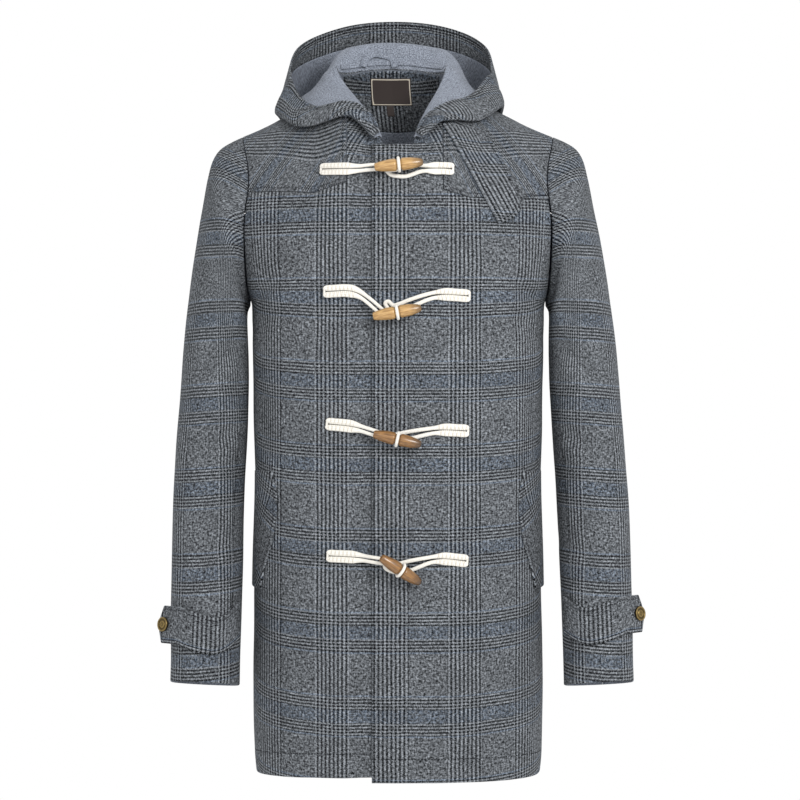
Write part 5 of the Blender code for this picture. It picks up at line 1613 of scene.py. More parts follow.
def yoke_panel() -> Panel:
    """The yoke: one piece over both shoulders, across the back and down each front."""
    shares = spaced(YOKE_REACH)[:, None]
    sides = []
    for hand in Hand:
        stations, far_x, far_wrap, fronts = yoke_half(hand)
        near_x, near_wrap = TORSO.neck(stations)
        x = blend(near_x, far_x, shares)
        wrap = blend(near_wrap, far_wrap, shares)
        places = TORSO.wrapped(hand.value * x, wrap)
        over = TORSO.over_shoulder(x, wrap) * YOKE_SLOPE[1] + YOKE_CHECK[1] * MM
        out = (x * YOKE_SLOPE[0] + YOKE_CHECK[0]) * MM
        cut = np.stack(((out - over), (over + out)), axis=-1) * math.sqrt(0.5)
        front = np.arange(len(stations)) < fronts
        sides.append((places, cut, np.broadcast_to(front, x.shape)))
    (right, left) = sides
    places, cut, front = (np.concatenate((a, b[:, -2::-1]), axis=1) for a, b in zip(right, left))
    across, up = places[..., 0] / MM, places[..., 2] / MM
    made = Panel(
        name="yoke_cloth",
        places=places,
        away=away_from(places, COAT_MIDDLE),
        cut=cut,
        lift=0.5 * uneven(across, up, 3.0) + YOKE_SETTLED,
        rolled=(),
        pressed=(Rim.LAST_ROW, Rim.FIRST_COLUMN, Rim.LAST_COLUMN),
        size=YOKE_FLAT,
    )
    made.topstitched(YOKE_STITCH, Rim.LAST_ROW, Rim.FIRST_COLUMN, Rim.LAST_COLUMN)
    made.stitch[~front] = NO_STITCH
    return made


# ------------------------------------------------------------------ sleeves


class SleeveRing(NamedTuple):
    """A section of the sleeve: its outer and underarm points, depth and tilt."""

    outer_x: float
    outer_z: float
    inner_x: float
    inner_z: float
    centre_y: float
    half_depth: float
    rise: float  # how much higher the front edge is, per unit of depth
    armhole: float  # share of the armhole's own shape that is kept


SLEEVE = (
    SleeveRing(206.5, -33.8, 197, -257, 0, 70, 0, 1),
    SleeveRing(222, -41, 199, -263, -3, 75, 0, 0.72),
    SleeveRing(236, -51, 200.5, -270, -4, 79, 0, 0.45),
    SleeveRing(245, -66, 201, -279, -4, 81, 0, 0.22),
    SleeveRing(251, -90, 200.5, -291, -4, 81, 0, 0.08),
    SleeveRing(258, -127, 199.5, -308, -3, 79, 0, 0),
    SleeveRing(267, -175, 198.5, -330, -2, 77, 0, 0),
    SleeveRing(276, -236, 198, -360, -2, 74, 0, 0),
    SleeveRing(283.5, -305, 198.5, -398, -4, 71, 0.02, 0),
    SleeveRing(289, -383, 200, -446, -9, 67, 0.04, 0),
    SleeveRing(293.5, -463, 202, -505, -18, 63, 0.08, 0),
    SleeveRing(296, -552, 203, -580, -33, 59, 0.12, 0),
    SleeveRing(295.5, -645, 203.5, -660, -52, 56, 0.16, 0),
    SleeveRing(294, -722, 204, -730, -69, 53, 0.19, 0),
    SleeveRing(294, -747, 204, -751, -74, 52, 0.19, 0),
)
CUFF_RING = len(SLEEVE) - 1
FRONT_SEAM, BACK_SEAM = 141.4, 282.8  # turns of the two lengthwise seams
ARMHOLE_POINTS = 120
CURLS_FROM, CURLS_TO, SWING_FROM = (1.0, 4.0), (7.0, 10.0), 3.0  # rings
MEASURED_TURN, MEASURED_RING = 60.0, 8.0  # lines that its points are evenly spaced along


@dataclass(frozen=True)
class SleeveShape:
    """The surface of both sleeves, by turn (0 outer, 90 front, 180 underarm) and ring."""

    curves: tuple[Curve, ...]
    armhole: np.ndarray
    swing: float = 10.0  # how much further out the sleeve at +X hangs at its cuff
    nestle: float = 14.0  # how far the front of the upper sleeve curls over the chest
    gap: float = 0.45  # from the body's edge, over the shoulder
    low_gap: float = 1.0  # and how much more than that under the arm
    square: tuple[float, float] = (2.35, 2.1)  # exponents at the armhole and at the cuff

    def armhole_place(self, turn: np.ndarray) -> np.ndarray:
        """The armhole's edge by turn, set off from the body by the seam, in metres."""
        place = (turn % 360) / 360 * ARMHOLE_POINTS
        ring = np.concatenate((self.armhole, self.armhole[:1]))
        at = [np.interp(place, range(ARMHOLE_POINTS + 1), ring[:, k]) for k in range(3)]
        low = (1 - np.cos(np.radians(turn))) / 2
        at[0] = at[0] + (self.gap + self.low_gap * low) * MM
        return np.stack(at, axis=-1)

    def place(self, hand: Hand, turn, ring) -> np.ndarray:
        """Points of the sleeve, in metres."""
        turn, ring = np.broadcast_arrays(np.asarray(turn, float), np.asarray(ring, float))
        at = SleeveRing(*(curve(ring) for curve in self.curves))
        cosine, sine = np.cos(np.radians(turn)), np.sin(np.radians(turn))
        exponent = 2 / blend(*self.square, np.minimum(1.0, ring / CUFF_RING))
        out, fore = power(cosine, exponent), power(sine, exponent)
        x = blend(at.inner_x, at.outer_x, (1 + out) / 2)
        z = blend(at.inner_z, at.outer_z, (1 + out) / 2) + at.rise * at.half_depth * fore
        share = eased(ring, *CURLS_FROM) * (1 - eased(ring, *CURLS_TO))
        x = x + np.where((sine > 0) & (cosine < 0), self.nestle * sine * cosine * share, 0.0)
        places = np.stack((x, at.centre_y - at.half_depth * fore, z), axis=-1) * MM
        first = SLEEVE[0]
        out, fore = power(cosine, 2 / self.square[0]), power(sine, 2 / self.square[0])
        plain = np.stack(
            (
                blend(first.inner_x, first.outer_x, (1 + out) / 2),
                first.centre_y - first.half_depth * fore,
                blend(first.inner_z, first.outer_z, (1 + out) / 2),
            ),
            axis=-1,
        )
        places = places + (self.armhole_place(turn) - plain * MM) * at.armhole[..., None]
        if hand is Hand.LEFT:
            places[..., 0] += self.swing * eased(ring, SWING_FROM, CUFF_RING) * MM
        places[..., 0] *= hand.value
        return places

    def away(self, hand: Hand, turn, ring) -> np.ndarray:
        """Unit normals out of the sleeve."""
        low, high = np.maximum(ring - 0.02, 0.0), np.minimum(ring + 0.02, CUFF_RING)
        along = self.place(hand, turn, high) - self.place(hand, turn, low)
        across = self.place(hand, turn + 0.5, ring) - self.place(hand, turn - 0.5, ring)
        normals = np.cross(across, along) * hand.value
        normals[..., 0] = np.where(ring == 0, 0.0, normals[..., 0])
        return unit(normals)

    def rings(self, hand: Hand) -> np.ndarray:
        """Ring numbers at even lengths down the sleeve."""
        rings = np.linspace(0, CUFF_RING, 600)
        return evened(rings, self.place(hand, MEASURED_TURN, rings))

    def turns(self, hand: Hand, start: float, end: float) -> np.ndarray:
        """Turns at even lengths round the sleeve."""
        turns = np.linspace(start, end, 500)
        return evened(turns, self.place(hand, turns, MEASURED_RING))


ARM = SleeveShape(
    curves=tuple(Curve(range(len(SLEEVE)), column) for column in zip(*SLEEVE)),
    armhole=TORSO.armhole_ring(ARMHOLE_POINTS),
)
SLEEVE_CREASES = (  # across is x away from the coat's middle, up is z
    Crease((206, -250), (252, -300), width=9, rise=-4.6, bow=-5),
    Crease((204, -300), (262, -352), width=9, rise=-4.2, bow=-6),
    Crease((206, -372), (268, -352), width=8, rise=-2.4, bow=4),
    Crease((208, -420), (276, -452), width=10, rise=-4.6, bow=-5),
    Crease((208, -470), (262, -462), width=8, rise=-2.0, bow=3),
    Crease((212, -560), (276, -604), width=12, rise=-3.4, bow=-4),
    Crease((286, -330), (262, -470), width=12, rise=-1.8),
    Crease((250, -640), (262, -745), width=11, rise=-1.6),
)
SLEEVE_CHECK_Z, SLEEVE_GROUP_REPEAT = -145.0, 108.3
HEAD_RING = 6.0  # above it the check follows the sleeve head, and isn't level
SLEEVE_TILT = 0.066  # the check's lines fall this much outward
SLEEVE_STRIPE = 12.0  # how far its stripes are moved round the sleeve
SLEEVE_MIDDLE = 0.24
STRIPE_TURN = 55.0  # where the top sleeve's stripes are counted from
SEAM_TURN = 0.3  # degrees left at each lengthwise seam
FOLDS_FROM, FOLDS_TO = 5.0, 30.0  # millimetres to the front over which its folds set in
SLEEVE_SETTLED, SLEEVE_UNEVEN = -0.5, 0.8
HEAD_SMOOTH = 1.2  # rings from the armhole over which its folds set in


def sleeve_panels(hand: Hand) -> list[Panel]:
    """The wide top sleeve and the under sleeve."""
    made = []
    rings = ARM.rings(hand)[:, None]
    for part, start, end in (
        ("top", BACK_SEAM - 360, FRONT_SEAM),
        ("under", FRONT_SEAM, BACK_SEAM),
    ):
        turns = ARM.turns(hand, start + SEAM_TURN, end - SEAM_TURN)
        places = ARM.place(hand, turns, rings)
        risen, along = (lengths_along(places, axis) for axis in range(2))
        middle = np.argmin(np.abs(turns - STRIPE_TURN)) if part == "top" else 0
        out, z = hand.value * places[..., 0], places[..., 2]
        level = z + SLEEVE_TILT * (out - SLEEVE_MIDDLE) - SLEEVE_CHECK_Z * MM
        scale = CheckedWool.group_repeat / SLEEVE_GROUP_REPEAT
        head = int(np.searchsorted(rings[:, 0], HEAD_RING))
        v = CheckedWool.group_start * MM + level * scale
        v[:head] = v[head] + risen[head] - risen[:head]
        u = along - along[:, middle : middle + 1] + SLEEVE_STRIPE * MM
        in_front = eased(-places[..., 1] / MM, FOLDS_FROM, FOLDS_TO)
        lift = creased(out / MM, z / MM, SLEEVE_CREASES) * in_front
        drift = SLEEVE_UNEVEN * uneven(out / MM, z / MM, 4.0 + hand.value)
        lift = np.minimum(lift, 0.0) + SLEEVE_SETTLED + drift
        lift = lift * eased(rings, 0.0, HEAD_SMOOTH)
        made.append(
            Panel(
                name=f"sleeve_{hand.word}_{part}_cloth",
                places=places,
                away=ARM.away(hand, turns, rings),
                cut=np.stack((u, v), axis=-1),
                lift=lift,
                pressed=(Rim.FIRST_ROW, Rim.FIRST_COLUMN, Rim.LAST_COLUMN),
            )
        )
    return made


# ------------------------------------------------------------------ hood


class HoodStation(NamedTuple):
    """A line of the hood from the neck seam over its fold to its face edge."""

    neck: float  # station of the neck seam
    ridge: tuple[float, float, float]  # top of the standing part at the neck
    bag: tuple[float, float, float]  # lowest line of the fallen hood
    edge: tuple[float, float, float]  # face edge


HOOD_RIGHT = (
    HoodStation(0.15, (-24, -113, -49), (-30.5, -119, -50), (-22, -115.5, -44)),
    HoodStation(1.0, (-33, -106, -27), (-42, -113, -34), (-31, -104, -22)),
    HoodStation(2.0, (-48, -95, -12), (-56, -108, -21.5), (-49, -96, -5)),
    HoodStation(3.0, (-63, -79, -3), (-75, -100, -20), (-72, -86, 0.5)),
    HoodStation(4.2, (-84, -56, 3), (-107, -89, -29), (-103, -73, -4)),
    HoodStation(5.4, (-104, -22, 10), (-132, -66, -28), (-124, -46, 10)),
    HoodStation(6.3, (-107, 14, 30), (-154, -8, -13), (-138.5, 0, 37)),
    HoodStation(7.1, (-97, 42, 56), (-149, 50, -12), (-145, 42, 64)),
    HoodStation(8.0, (-86, 64, 84), (-141, 108, -32), (-138, 86, 100)),
    HoodStation(9.0, (-71, 80, 105), (-107, 152, -52), (-111, 126, 126)),
    HoodStation(10.0, (-45, 86, 111), (-60, 176, -62), (-65, 155, 146)),
)
HOOD_MIDDLE = HoodStation(BACK_OF_NECK, (-8, 88, 112), (-10, 183, -66), (-11, 165, 153))
HOOD_LEFT = (
    HoodStation(10.0, (34, 87, 110), (40, 176, -62), (45, 157, 148)),
    HoodStation(9.0, (62, 82, 103), (88, 152, -52), (93, 131, 130)),
    HoodStation(8.0, (78, 66, 82), (122, 112, -32), (122, 91, 101)),
    HoodStation(7.1, (88, 44, 56), (132, 52, -10), (126.5, 46, 62)),
    HoodStation(6.2, (94, 14, 30), (131, -4, -6), (118, 10, 49)),
    HoodStation(5.2, (88, -20, 14), (120, -40, -17), (102.5, -31, 24)),
    HoodStation(4.2, (74, -52, 3), (99, -73, -27), (86, -57, 7)),
    HoodStation(3.0, (55, -80, -6), (76, -94, -28), (63, -80, -8)),
    HoodStation(2.0, (42, -96, -19), (54, -106, -29), (42.5, -94, -18)),
    HoodStation(1.0, (31, -106, -30), (42, -113, -38), (30, -105, -28)),
    HoodStation(0.15, (24, -113, -49), (30.5, -119, -50), (22, -115.5, -44)),
)
NEAR_STEPS = 7  # from the neck seam over the ridge to the lowest line
FAR_SHARES = (0.24, 0.48, 0.72)  # places on the way from there to the facing
FACING_WIDTH = 30.0
FACING_SHARE = 0.45  # the most of the far wall that the facing takes
HOOD_GAP = 0.9  # between the shell and the lining
HOOD_FOOT = HOOD_SHELL + HOOD_GAP / 2 + 1.2
NEAR_CLEAR, FOLD_CLEAR, FAR_CLEAR = 4.8, 7.8, 10.8
SHOULDER_CLEAR = 2.4  # more room over the shoulders, where the cloth bends most
FLAT_STATIONS, FREE_STATION = 4.5, 5.2  # the hood lies flat before one, and is free from the other
FLAT_ROOM = 0.6  # how much further off the torso it may lie there
HOOD_MIDST = (-4.0, 10.0, 0.0)  # middle of the hood in plan
NEAR_BOW, FAR_BOW = (0.5, -0.10), (0.45, 0.13)  # where each wall bows, and how far, by its length
FINE_LINES = range(2, 20)  # gaps between stations that get a line between
CENTRE_PANEL = (17, 23)  # lines that the centre panel runs between
LINE_STEPS = 16  # of a smooth line between two of its points
RIM_STITCH = 6.0
RIM_MEETS = (1.0, 8.0)  # distances from the face edge over which shell and facing part
RIM_SMOOTH = (2.0, 14.0)  # and over which the shell's unevenness sets in
HOOD_SETTLED = -0.2
SEWN_IN = -0.12  # point that the hood's cloth starts from, below its foot, in the neck seam


def torso_gap(place: np.ndarray) -> tuple[float, np.ndarray]:
    """Distance in millimetres of a place from the torso, and the way off it."""
    steps = np.concatenate((np.zeros((1, 3)), np.eye(3), -np.eye(3)))
    x, y, z = (place + steps).T
    x = x - LEAN * eased(z, LEAN_FROM_Z, LEAN_TO_Z)
    face = np.where(y < 0, IN_FRONT, BEHIND)
    across, up = TORSO.roundness(x, face)
    reach = (np.abs(y) / TORSO.depth(x, z, face)) ** across
    wrap = np.degrees(np.arcsin(np.sqrt(np.minimum(1.0, reach)))) / 90
    height = np.maximum(0.0, (z - CHEST_Z) / (TORSO.line(x, face, wrap) - CHEST_Z))
    level = reach + height**up - 1
    slope = level[1:4] - level[4:]
    size = float(np.linalg.norm(slope))
    return 2 * level[0] / size, slope / size


def cleared(place: np.ndarray, least: float, most: float = math.inf) -> np.ndarray:
    """The place, moved until its distance from the torso is between two limits."""
    for _ in range(4):
        gap, way = torso_gap(place)
        place = place + way * (min(max(gap, least), most) - gap)
    return place


def hood_line(side: int, row: HoodStation) -> np.ndarray:
    """The hood's line at one station, from the neck seam, in millimetres."""
    x, wrap = TORSO.neck(row.neck)
    at = TORSO.wrapped(side * x, wrap)
    along = TORSO.wrapped(side * x + 0.5, wrap) - TORSO.wrapped(side * x - 0.5, wrap)
    over = TORSO.wrapped(side * x, wrap + 0.004) - TORSO.wrapped(side * x, wrap - 0.004)
    up = unit(np.cross(along, over))
    up = up if up @ (at - COAT_MIDDLE) > 0 else -up
    neck = at / MM + up * HOOD_FOOT
    ridge, bag, edge = (np.array(spot, float) for spot in row[1:])
    away = unit((bag - HOOD_MIDST) * (1, 1, 0))
    most = NEAR_CLEAR + FLAT_ROOM if row.neck < FLAT_STATIONS else math.inf
    least = NEAR_CLEAR + SHOULDER_CLEAR * float(eased(row.neck, FLAT_STATIONS, FREE_STATION))
    ridge = cleared(ridge, least, most)
    bag = cleared(bag, FOLD_CLEAR)
    edge = cleared(edge, FAR_CLEAR)
    near_wall, far_wall = (
        blend(start, end, share) + away * np.linalg.norm(end - start) * bow
        for start, end, (share, bow) in ((ridge, bag, NEAR_BOW), (bag, edge, FAR_BOW))
    )
    near_wall = cleared(near_wall, least, most)
    far_wall = cleared(far_wall, FAR_CLEAR)
    fine = smooth_through(np.array([neck, ridge, near_wall, bag, far_wall, edge]), LINE_STEPS)
    fold = 3 * LINE_STEPS
    near = picked(fine[: fold + 1], np.linspace(0, 1, NEAR_STEPS + 1))
    rim = 1 - min(FACING_SHARE, FACING_WIDTH / float(np.linalg.norm(edge - bag)))
    far = picked(fine[fold:], [*(share * rim for share in FAR_SHARES), rim, 1.0])
    inner = [cleared(place, least, most) for place in near[1:-1]]
    return np.array([near[0], *inner, near[-1], *(cleared(place, FAR_CLEAR) for place in far)])


def hood_lines() -> np.ndarray:
    """All of the hood's lines in metres, from the front end at -X round to +X."""
    lines = [hood_line(-1, row) for row in (*HOOD_RIGHT, HOOD_MIDDLE)]
    lines += [hood_line(1, row) for row in HOOD_LEFT]
    grid = []
    for i, line in enumerate(lines):
        grid.append(line)
        if i in FINE_LINES:
            before, after, next_after = lines[i - 1], lines[i + 1], lines[i + 2]
            grid.append((line + after) * 9 / 16 - (before + next_after) / 16)
    return np.array(grid) * MM


def rows_at(grid: np.ndarray, at: np.ndarray) -> np.ndarray:
    """Rows of a grid at some row numbers, which needn't be whole."""
    low = np.clip(np.floor(at).astype(int), 0, len(grid) - 2)
    share = (at - low).reshape(-1, *(1,) * (grid.ndim - 1))
    return blend(grid[low], grid[low + 1], share)


class Hood:
    """The fallen hood: its outer panels, its lining and the facing of its face edge."""

    def __init__(self) -> None:
        """Lay its smooth middle surface through the lines and find its normals."""
        self.lines = hood_lines()
        self.steps = 10
        fine = smooth_through(self.lines, self.steps)
        self.middle = smooth_through(fine.swapaxes(0, 1), self.steps).swapaxes(0, 1)
        along, round_ = np.gradient(self.middle, axis=1), np.gradient(self.middle, axis=0)
        self.normals = unit(np.cross(along, round_))
        self.last_line = len(self.lines) - 1
        self.last_point = self.lines.shape[1] - 1

    def part(self, grid: np.ndarray, lines: np.ndarray, points: np.ndarray) -> np.ndarray:
        """Part of the fine surface or its normals, at some line and point numbers."""
        fine = rows_at(grid, lines * self.steps)
        return rows_at(fine.swapaxes(0, 1), points * self.steps).swapaxes(0, 1)

    def panel(
        self,
        name: str,
        lines: tuple[float, float],
        points: tuple[float, float],
        inward: bool = False,
        **settings,
    ) -> Panel:
        """A panel of the shell, or of what lies inside it.

        Args:
            name: the panel's name.
            lines: numbers of the lines that it runs between.
            points: numbers of the points on each line that it runs between.
            inward: True for the lining and the facing, which show their inner side.
            settings: more of the panel's own fields.

        Returns:
            The panel, with its columns along the hood's lines.
        """
        size = self.middle[int(lines[0]) * self.steps : int(lines[1]) * self.steps + 1]
        band = size[:, max(0, int(points[0] * self.steps)) : int(points[1]) * self.steps + 1]
        longest = np.linalg.norm(np.diff(band, axis=0), axis=-1).sum(axis=0).max() / MM
        tallest = np.linalg.norm(np.diff(band, axis=1), axis=-1).sum(axis=1).max() / MM
        row = blend(*lines, spaced(longest, FINE_GRID))
        column = blend(*points, spaced(tallest, FINE_GRID))
        places, away = (self.part(grid, row, column) for grid in (self.middle, self.normals))
        side = -1 if inward else 1
        off = HOOD_GAP / 2 + (HOOD_LINING if inward else HOOD_SHELL)
        places = places + away * side * off * MM
        u, v = (lengths_along(places, axis) for axis in range(2))
        base = u[len(row) // 2]
        return Panel(
            name=name,
            places=places,
            away=unit(away) * side,
            cut=np.stack((u - base, -v), axis=-1),
            **settings,
        )


def hood_panels(hood: Hood) -> list[Panel]:
    """The three outer panels, whose face edge rolls over to meet the facing."""
    first, last = CENTRE_PANEL
    parts = {"right": (0, first), "centre": CENTRE_PANEL, "left": (last, hood.last_line)}
    made = []
    for name, lines in parts.items():
        panel = hood.panel(f"hood_{name}_cloth", lines, (SEWN_IN, hood.last_point))
        near = panel.from_rim(Rim.LAST_COLUMN)
        panel.thick = HOOD_SHELL + HOOD_GAP / 2 * (1 - eased(near, *RIM_MEETS))
        panel.topstitched(RIM_STITCH, Rim.LAST_COLUMN)
        panel.lift = 0.5 * uneven(panel.cut[..., 0] / MM, panel.cut[..., 1] / MM, 6.0)
        panel.lift = panel.lift * eased(near, *RIM_SMOOTH) + HOOD_SETTLED
        made.append(panel)
    return made


def hood_inside(hood: Hood) -> tuple[Panel, Panel]:
    """The lining and the facing along its face edge."""
    rim = hood.last_point - 1
    whole = (0, hood.last_line)
    lining = hood.panel("hood_lining_cloth", whole, (SEWN_IN, rim), True, thick=HOOD_LINING)
    facing = hood.panel("hood_facing_cloth", whole, (rim, rim + 1), inward=True)
    near = facing.from_rim(Rim.LAST_COLUMN)
    facing.thick = HOOD_LINING + HOOD_GAP / 2 * (1 - eased(near, *RIM_MEETS))
    facing.topstitched(RIM_STITCH, Rim.LAST_COLUMN)
    lining.lift = 0.5 * uneven(lining.cut[..., 0] / MM, lining.cut[..., 1] / MM, 7.0)
    return lining, facing


# ------------------------------------------------------------------ inside the neck


@dataclass(frozen=True)
class NeckInside:
    """What lies inside the neck, on the back: facing, lining, label, tab and loop."""

    inside: float = CLOTH + 1.4  # how far inside the torso's surface the facing lies
    facing_half: float = 66.0
    facing_low: float = -12.0
    facing_curve: float = 10.0  # how much higher its lower edge is at its ends
    lining_half: float = 58.0
    lining_low: float = -75.0
    label_middle: float = -1.5
    label_size: tuple[float, float] = (57.0, 34.8)
    label_top: float = 58.8
    label_thick: float = 1.0
    tab_middle: float = -4.5
    tab_size: tuple[float, float] = (10.5, 13.4)
    tab_top: float = 23.4
    tab_thick: float = 0.8
    outline: float = 1.6  # from the label's edge to its pale line
    arch: tuple[tuple[float, float], ...] = (
        (-47, 69),
        (-44, 80),
        (-34, 88),
        (-20, 87),
        (-8, 82),
        (-4, 69),
    )
    arch_half: float = 4.5
    arch_thick: float = 1.6
    arch_stitch: float = 1.6
    arch_off: float = 7.8  # how far its face stands before the middle of the hood's cloth
    band_lines: tuple[int, int] = (14, 26)
    band_rise: tuple[float, float] = (1.0, 12.0)
    band_thick: float = 1.2
    band_length: float = 170.0
    band_stitch: float = 2.0
    facing_tall: float = 75.0
    lining_tall: float = 60.0

    def behind(self, name: str, x: np.ndarray, z: np.ndarray, deep: float, thick: float) -> Panel:
        """A panel on the back's inner side, which shows that side.

        Args:
            name: its name.
            x: distance of its points from the middle.
            z: their heights.
            deep: how far inside the torso's surface its hidden side lies.
            thick: its thickness.

        Returns:
            The panel.
        """
        surface = TORSO.at(x, z, BEHIND)
        inward = -away_from(surface, COAT_MIDDLE)
        places = surface + inward * (deep + thick) * MM
        cut = np.stack((x * MM, z * MM), axis=-1)
        return Panel(name=name, places=places, away=inward, cut=cut, thick=thick)

    def plate(self, name: str, middle: float, top: float, size, thick: float) -> Panel:
        """A small patch on the facing."""
        wide, tall = size
        x, z = np.broadcast_arrays(
            middle + wide * (spaced(wide, 3.0) - 0.5), top - tall * spaced(tall, 3.0)[:, None]
        )
        return self.behind(name, x, z, self.inside + FACING + 2 * SEAM, thick)

    def hanging(self, name: str, x: np.ndarray, top, low, tall: float) -> Panel:
        """A panel behind the neck between two lines of heights."""
        x, z = np.broadcast_arrays(x, blend(top, low, spaced(tall)[:, None]))
        return self.behind(name, x, z, self.inside, FACING)

    def facing_foot(self, x: np.ndarray) -> np.ndarray:
        """Height of the facing's lower edge."""
        return self.facing_low + self.facing_curve * (x / self.facing_half) ** 2

    def panels(self) -> dict[str, Panel]:
        """The facing, the lining below it, the label and the size tab."""
        x = blend(-self.facing_half, self.facing_half, spaced(2 * self.facing_half))
        station = TORSO.station_at(x, SHOULDER_STATION, float(BACK_OF_NECK))
        top = TORSO.wrapped(x, TORSO.neck(station)[1])[:, 2] / MM - 1.0
        facing = self.hanging("back_facing_cloth", x, top, self.facing_foot(x), self.facing_tall)
        facing.stitch = facing.cut.copy()
        x = blend(-self.lining_half, self.lining_half, spaced(2 * self.lining_half))
        under = self.facing_foot(x) - SEAM
        lining = self.hanging("back_lining_cloth", x, under, self.lining_low, self.lining_tall)
        label = self.plate(
            "label_cloth", self.label_middle, self.label_top, self.label_size, self.label_thick
        )
        label.topstitched(self.outline, *ALL_RIMS)
        tab = self.plate(
            "size_tab_cloth", self.tab_middle, self.tab_top, self.tab_size, self.tab_thick
        )
        return {"facing": facing, "lining": lining, "label": label, "tab": tab}

    def stand_depth(self, hood: Hood, x: float, z: float) -> float:
        """Depth of the hood's standing part behind the neck, at x and height z."""
        depths = []
        for line in hood.lines[CENTRE_PANEL[0] - 1 : CENTRE_PANEL[1] + 2]:
            i = next(k for k in range(3) if line[k + 1][2] >= z or k == 2)
            t = min(1.0, (z - line[i][2]) / (line[i + 1][2] - line[i][2]))
            depths.append(blend(line[i], line[i + 1], t))
        xs, ys = np.array(depths)[:, 0], np.array(depths)[:, 1]
        return float(np.interp(x, xs, ys))

    def loop(self, hood: Hood) -> Panel:
        """The hanging loop, a narrow strip that arches before the hood's foot."""
        knots = np.array([(x, 0.0, z) for x, z in self.arch]) * MM
        line = smooth_through(knots, LINE_STEPS)
        length = float(np.linalg.norm(np.diff(line, axis=0), axis=1).sum())
        shares = spaced(length / MM, 2.5)
        line = picked(line, shares)
        way = unit(np.gradient(line, axis=0))
        across = np.stack((-way[:, 2], 0 * way[:, 0], way[:, 0]), axis=-1)
        wide = blend(self.arch_half, -self.arch_half, spaced(2 * self.arch_half, 1.5))
        places = line + across * wide[:, None, None] * MM
        for row in places:
            for place in row:
                depth = self.stand_depth(hood, place[0], place[2])
                place[1] = depth - self.arch_off * MM
        cut = np.stack(np.broadcast_arrays(shares * length, wide[:, None] * MM), axis=-1)
        made = Panel(
            name="hang_loop_cloth",
            places=places,
            away=np.broadcast_to((0.0, -1.0, 0.0), places.shape).copy(),
            cut=cut,
            thick=self.arch_thick,
        )
        return made.topstitched(self.arch_stitch, Rim.FIRST_ROW, Rim.LAST_ROW)

    def band(self, hood: Hood) -> Panel:
        """The plain band round the foot of the hood's standing part."""
        low, high = self.band_lines
        row = blend(low, high, spaced(self.band_length, FINE_GRID))
        foot = hood.part(hood.middle, row, np.array([0.0]))
        rise = unit(rows_at(hood.lines[:, 1:2] - hood.lines[:, :1], row))
        up = hood.part(hood.normals, row, np.array([0.0]))
        heights = blend(*self.band_rise, spaced(11.0, 2.5))
        lift = -HOOD_GAP / 2 - HOOD_LINING - 4.5 * SEAM - self.band_thick
        places = foot + rise * heights[:, None] * MM + up * lift * MM
        run = lengths_along(places, 0)
        cut = np.stack(np.broadcast_arrays(run, heights * MM), axis=-1)
        away = np.broadcast_to(-up, places.shape).copy()
        made = Panel("collar_band_cloth", places, away, cut, thick=self.band_thick)
        return made.topstitched(self.band_stitch, Rim.LAST_COLUMN)


# ------------------------------------------------------------------ strap, welts and cuffs


@dataclass(frozen=True)
class Strap:
    """The throat strap, which hangs from under the hood down the wearer's left front."""

    left: tuple[tuple[float, float], ...] = ((57.5, -33), (127, -160))
    right: tuple[tuple[float, float], ...] = ((111, -37), (159, -127))
    tall: float = 145.0
    wide: float = 50.0
    point: float = 8.0  # how far its middle reaches past its end corners
    point_from: float = 0.75  # share of its length where its end starts to reach out
    clear: float = 1.7
    stitch: float = 5.0
    shift: tuple[float, float] = (-0.028, -0.1)  # metres that its check is moved by

    def panel(self) -> Panel:
        """Lay it over the front and the yoke."""
        t, s = spaced(self.tall)[:, None], spaced(self.wide)
        left, right = (blend(*np.array(side)[:, None, :], t) for side in (self.left, self.right))
        places = blend(left[:, None], right[:, None], s[:, None])
        past = self.point * 4 * s * (1 - s) * eased(t, self.point_from, 1.0) * math.sqrt(0.5)
        x, z = places[..., 0] + past, places[..., 1] - past
        surface = TORSO.at(x, z, IN_FRONT)
        away = away_from(surface, COAT_MIDDLE)
        cut = np.stack((lengths_along(surface, 1), -lengths_along(surface, 0)), axis=-1)
        made = Panel(
            name="throat_strap_cloth",
            places=surface,
            away=away,
            cut=cut + self.shift,
            thick=DOUBLED_CLOTH,
            lift=self.clear + DOUBLED_CLOTH,
        )
        return made.topstitched(self.stitch, Rim.FIRST_COLUMN, Rim.LAST_COLUMN, Rim.LAST_ROW)


class WeltSpot(NamedTuple):
    """The pocket welt at one height: turns of its front edge and of its back edge."""

    z: float
    front: float
    back: float


WELT = (
    WeltSpot(z=-474, front=36.7, back=15),
    WeltSpot(z=-512, front=40, back=12),
    WeltSpot(z=-560, front=37, back=8),
    WeltSpot(z=-590, front=31.5, back=5),
    WeltSpot(z=-627, front=25, back=3),
)
WELT_THICK, WELT_CLEAR, WELT_SLANT = 1.9, 0.5, math.radians(27)
WELT_STITCH = 5.0  # from its front edge
WELT_TALL, WELT_WIDE = WELT[0].z - WELT[-1].z, 80.0


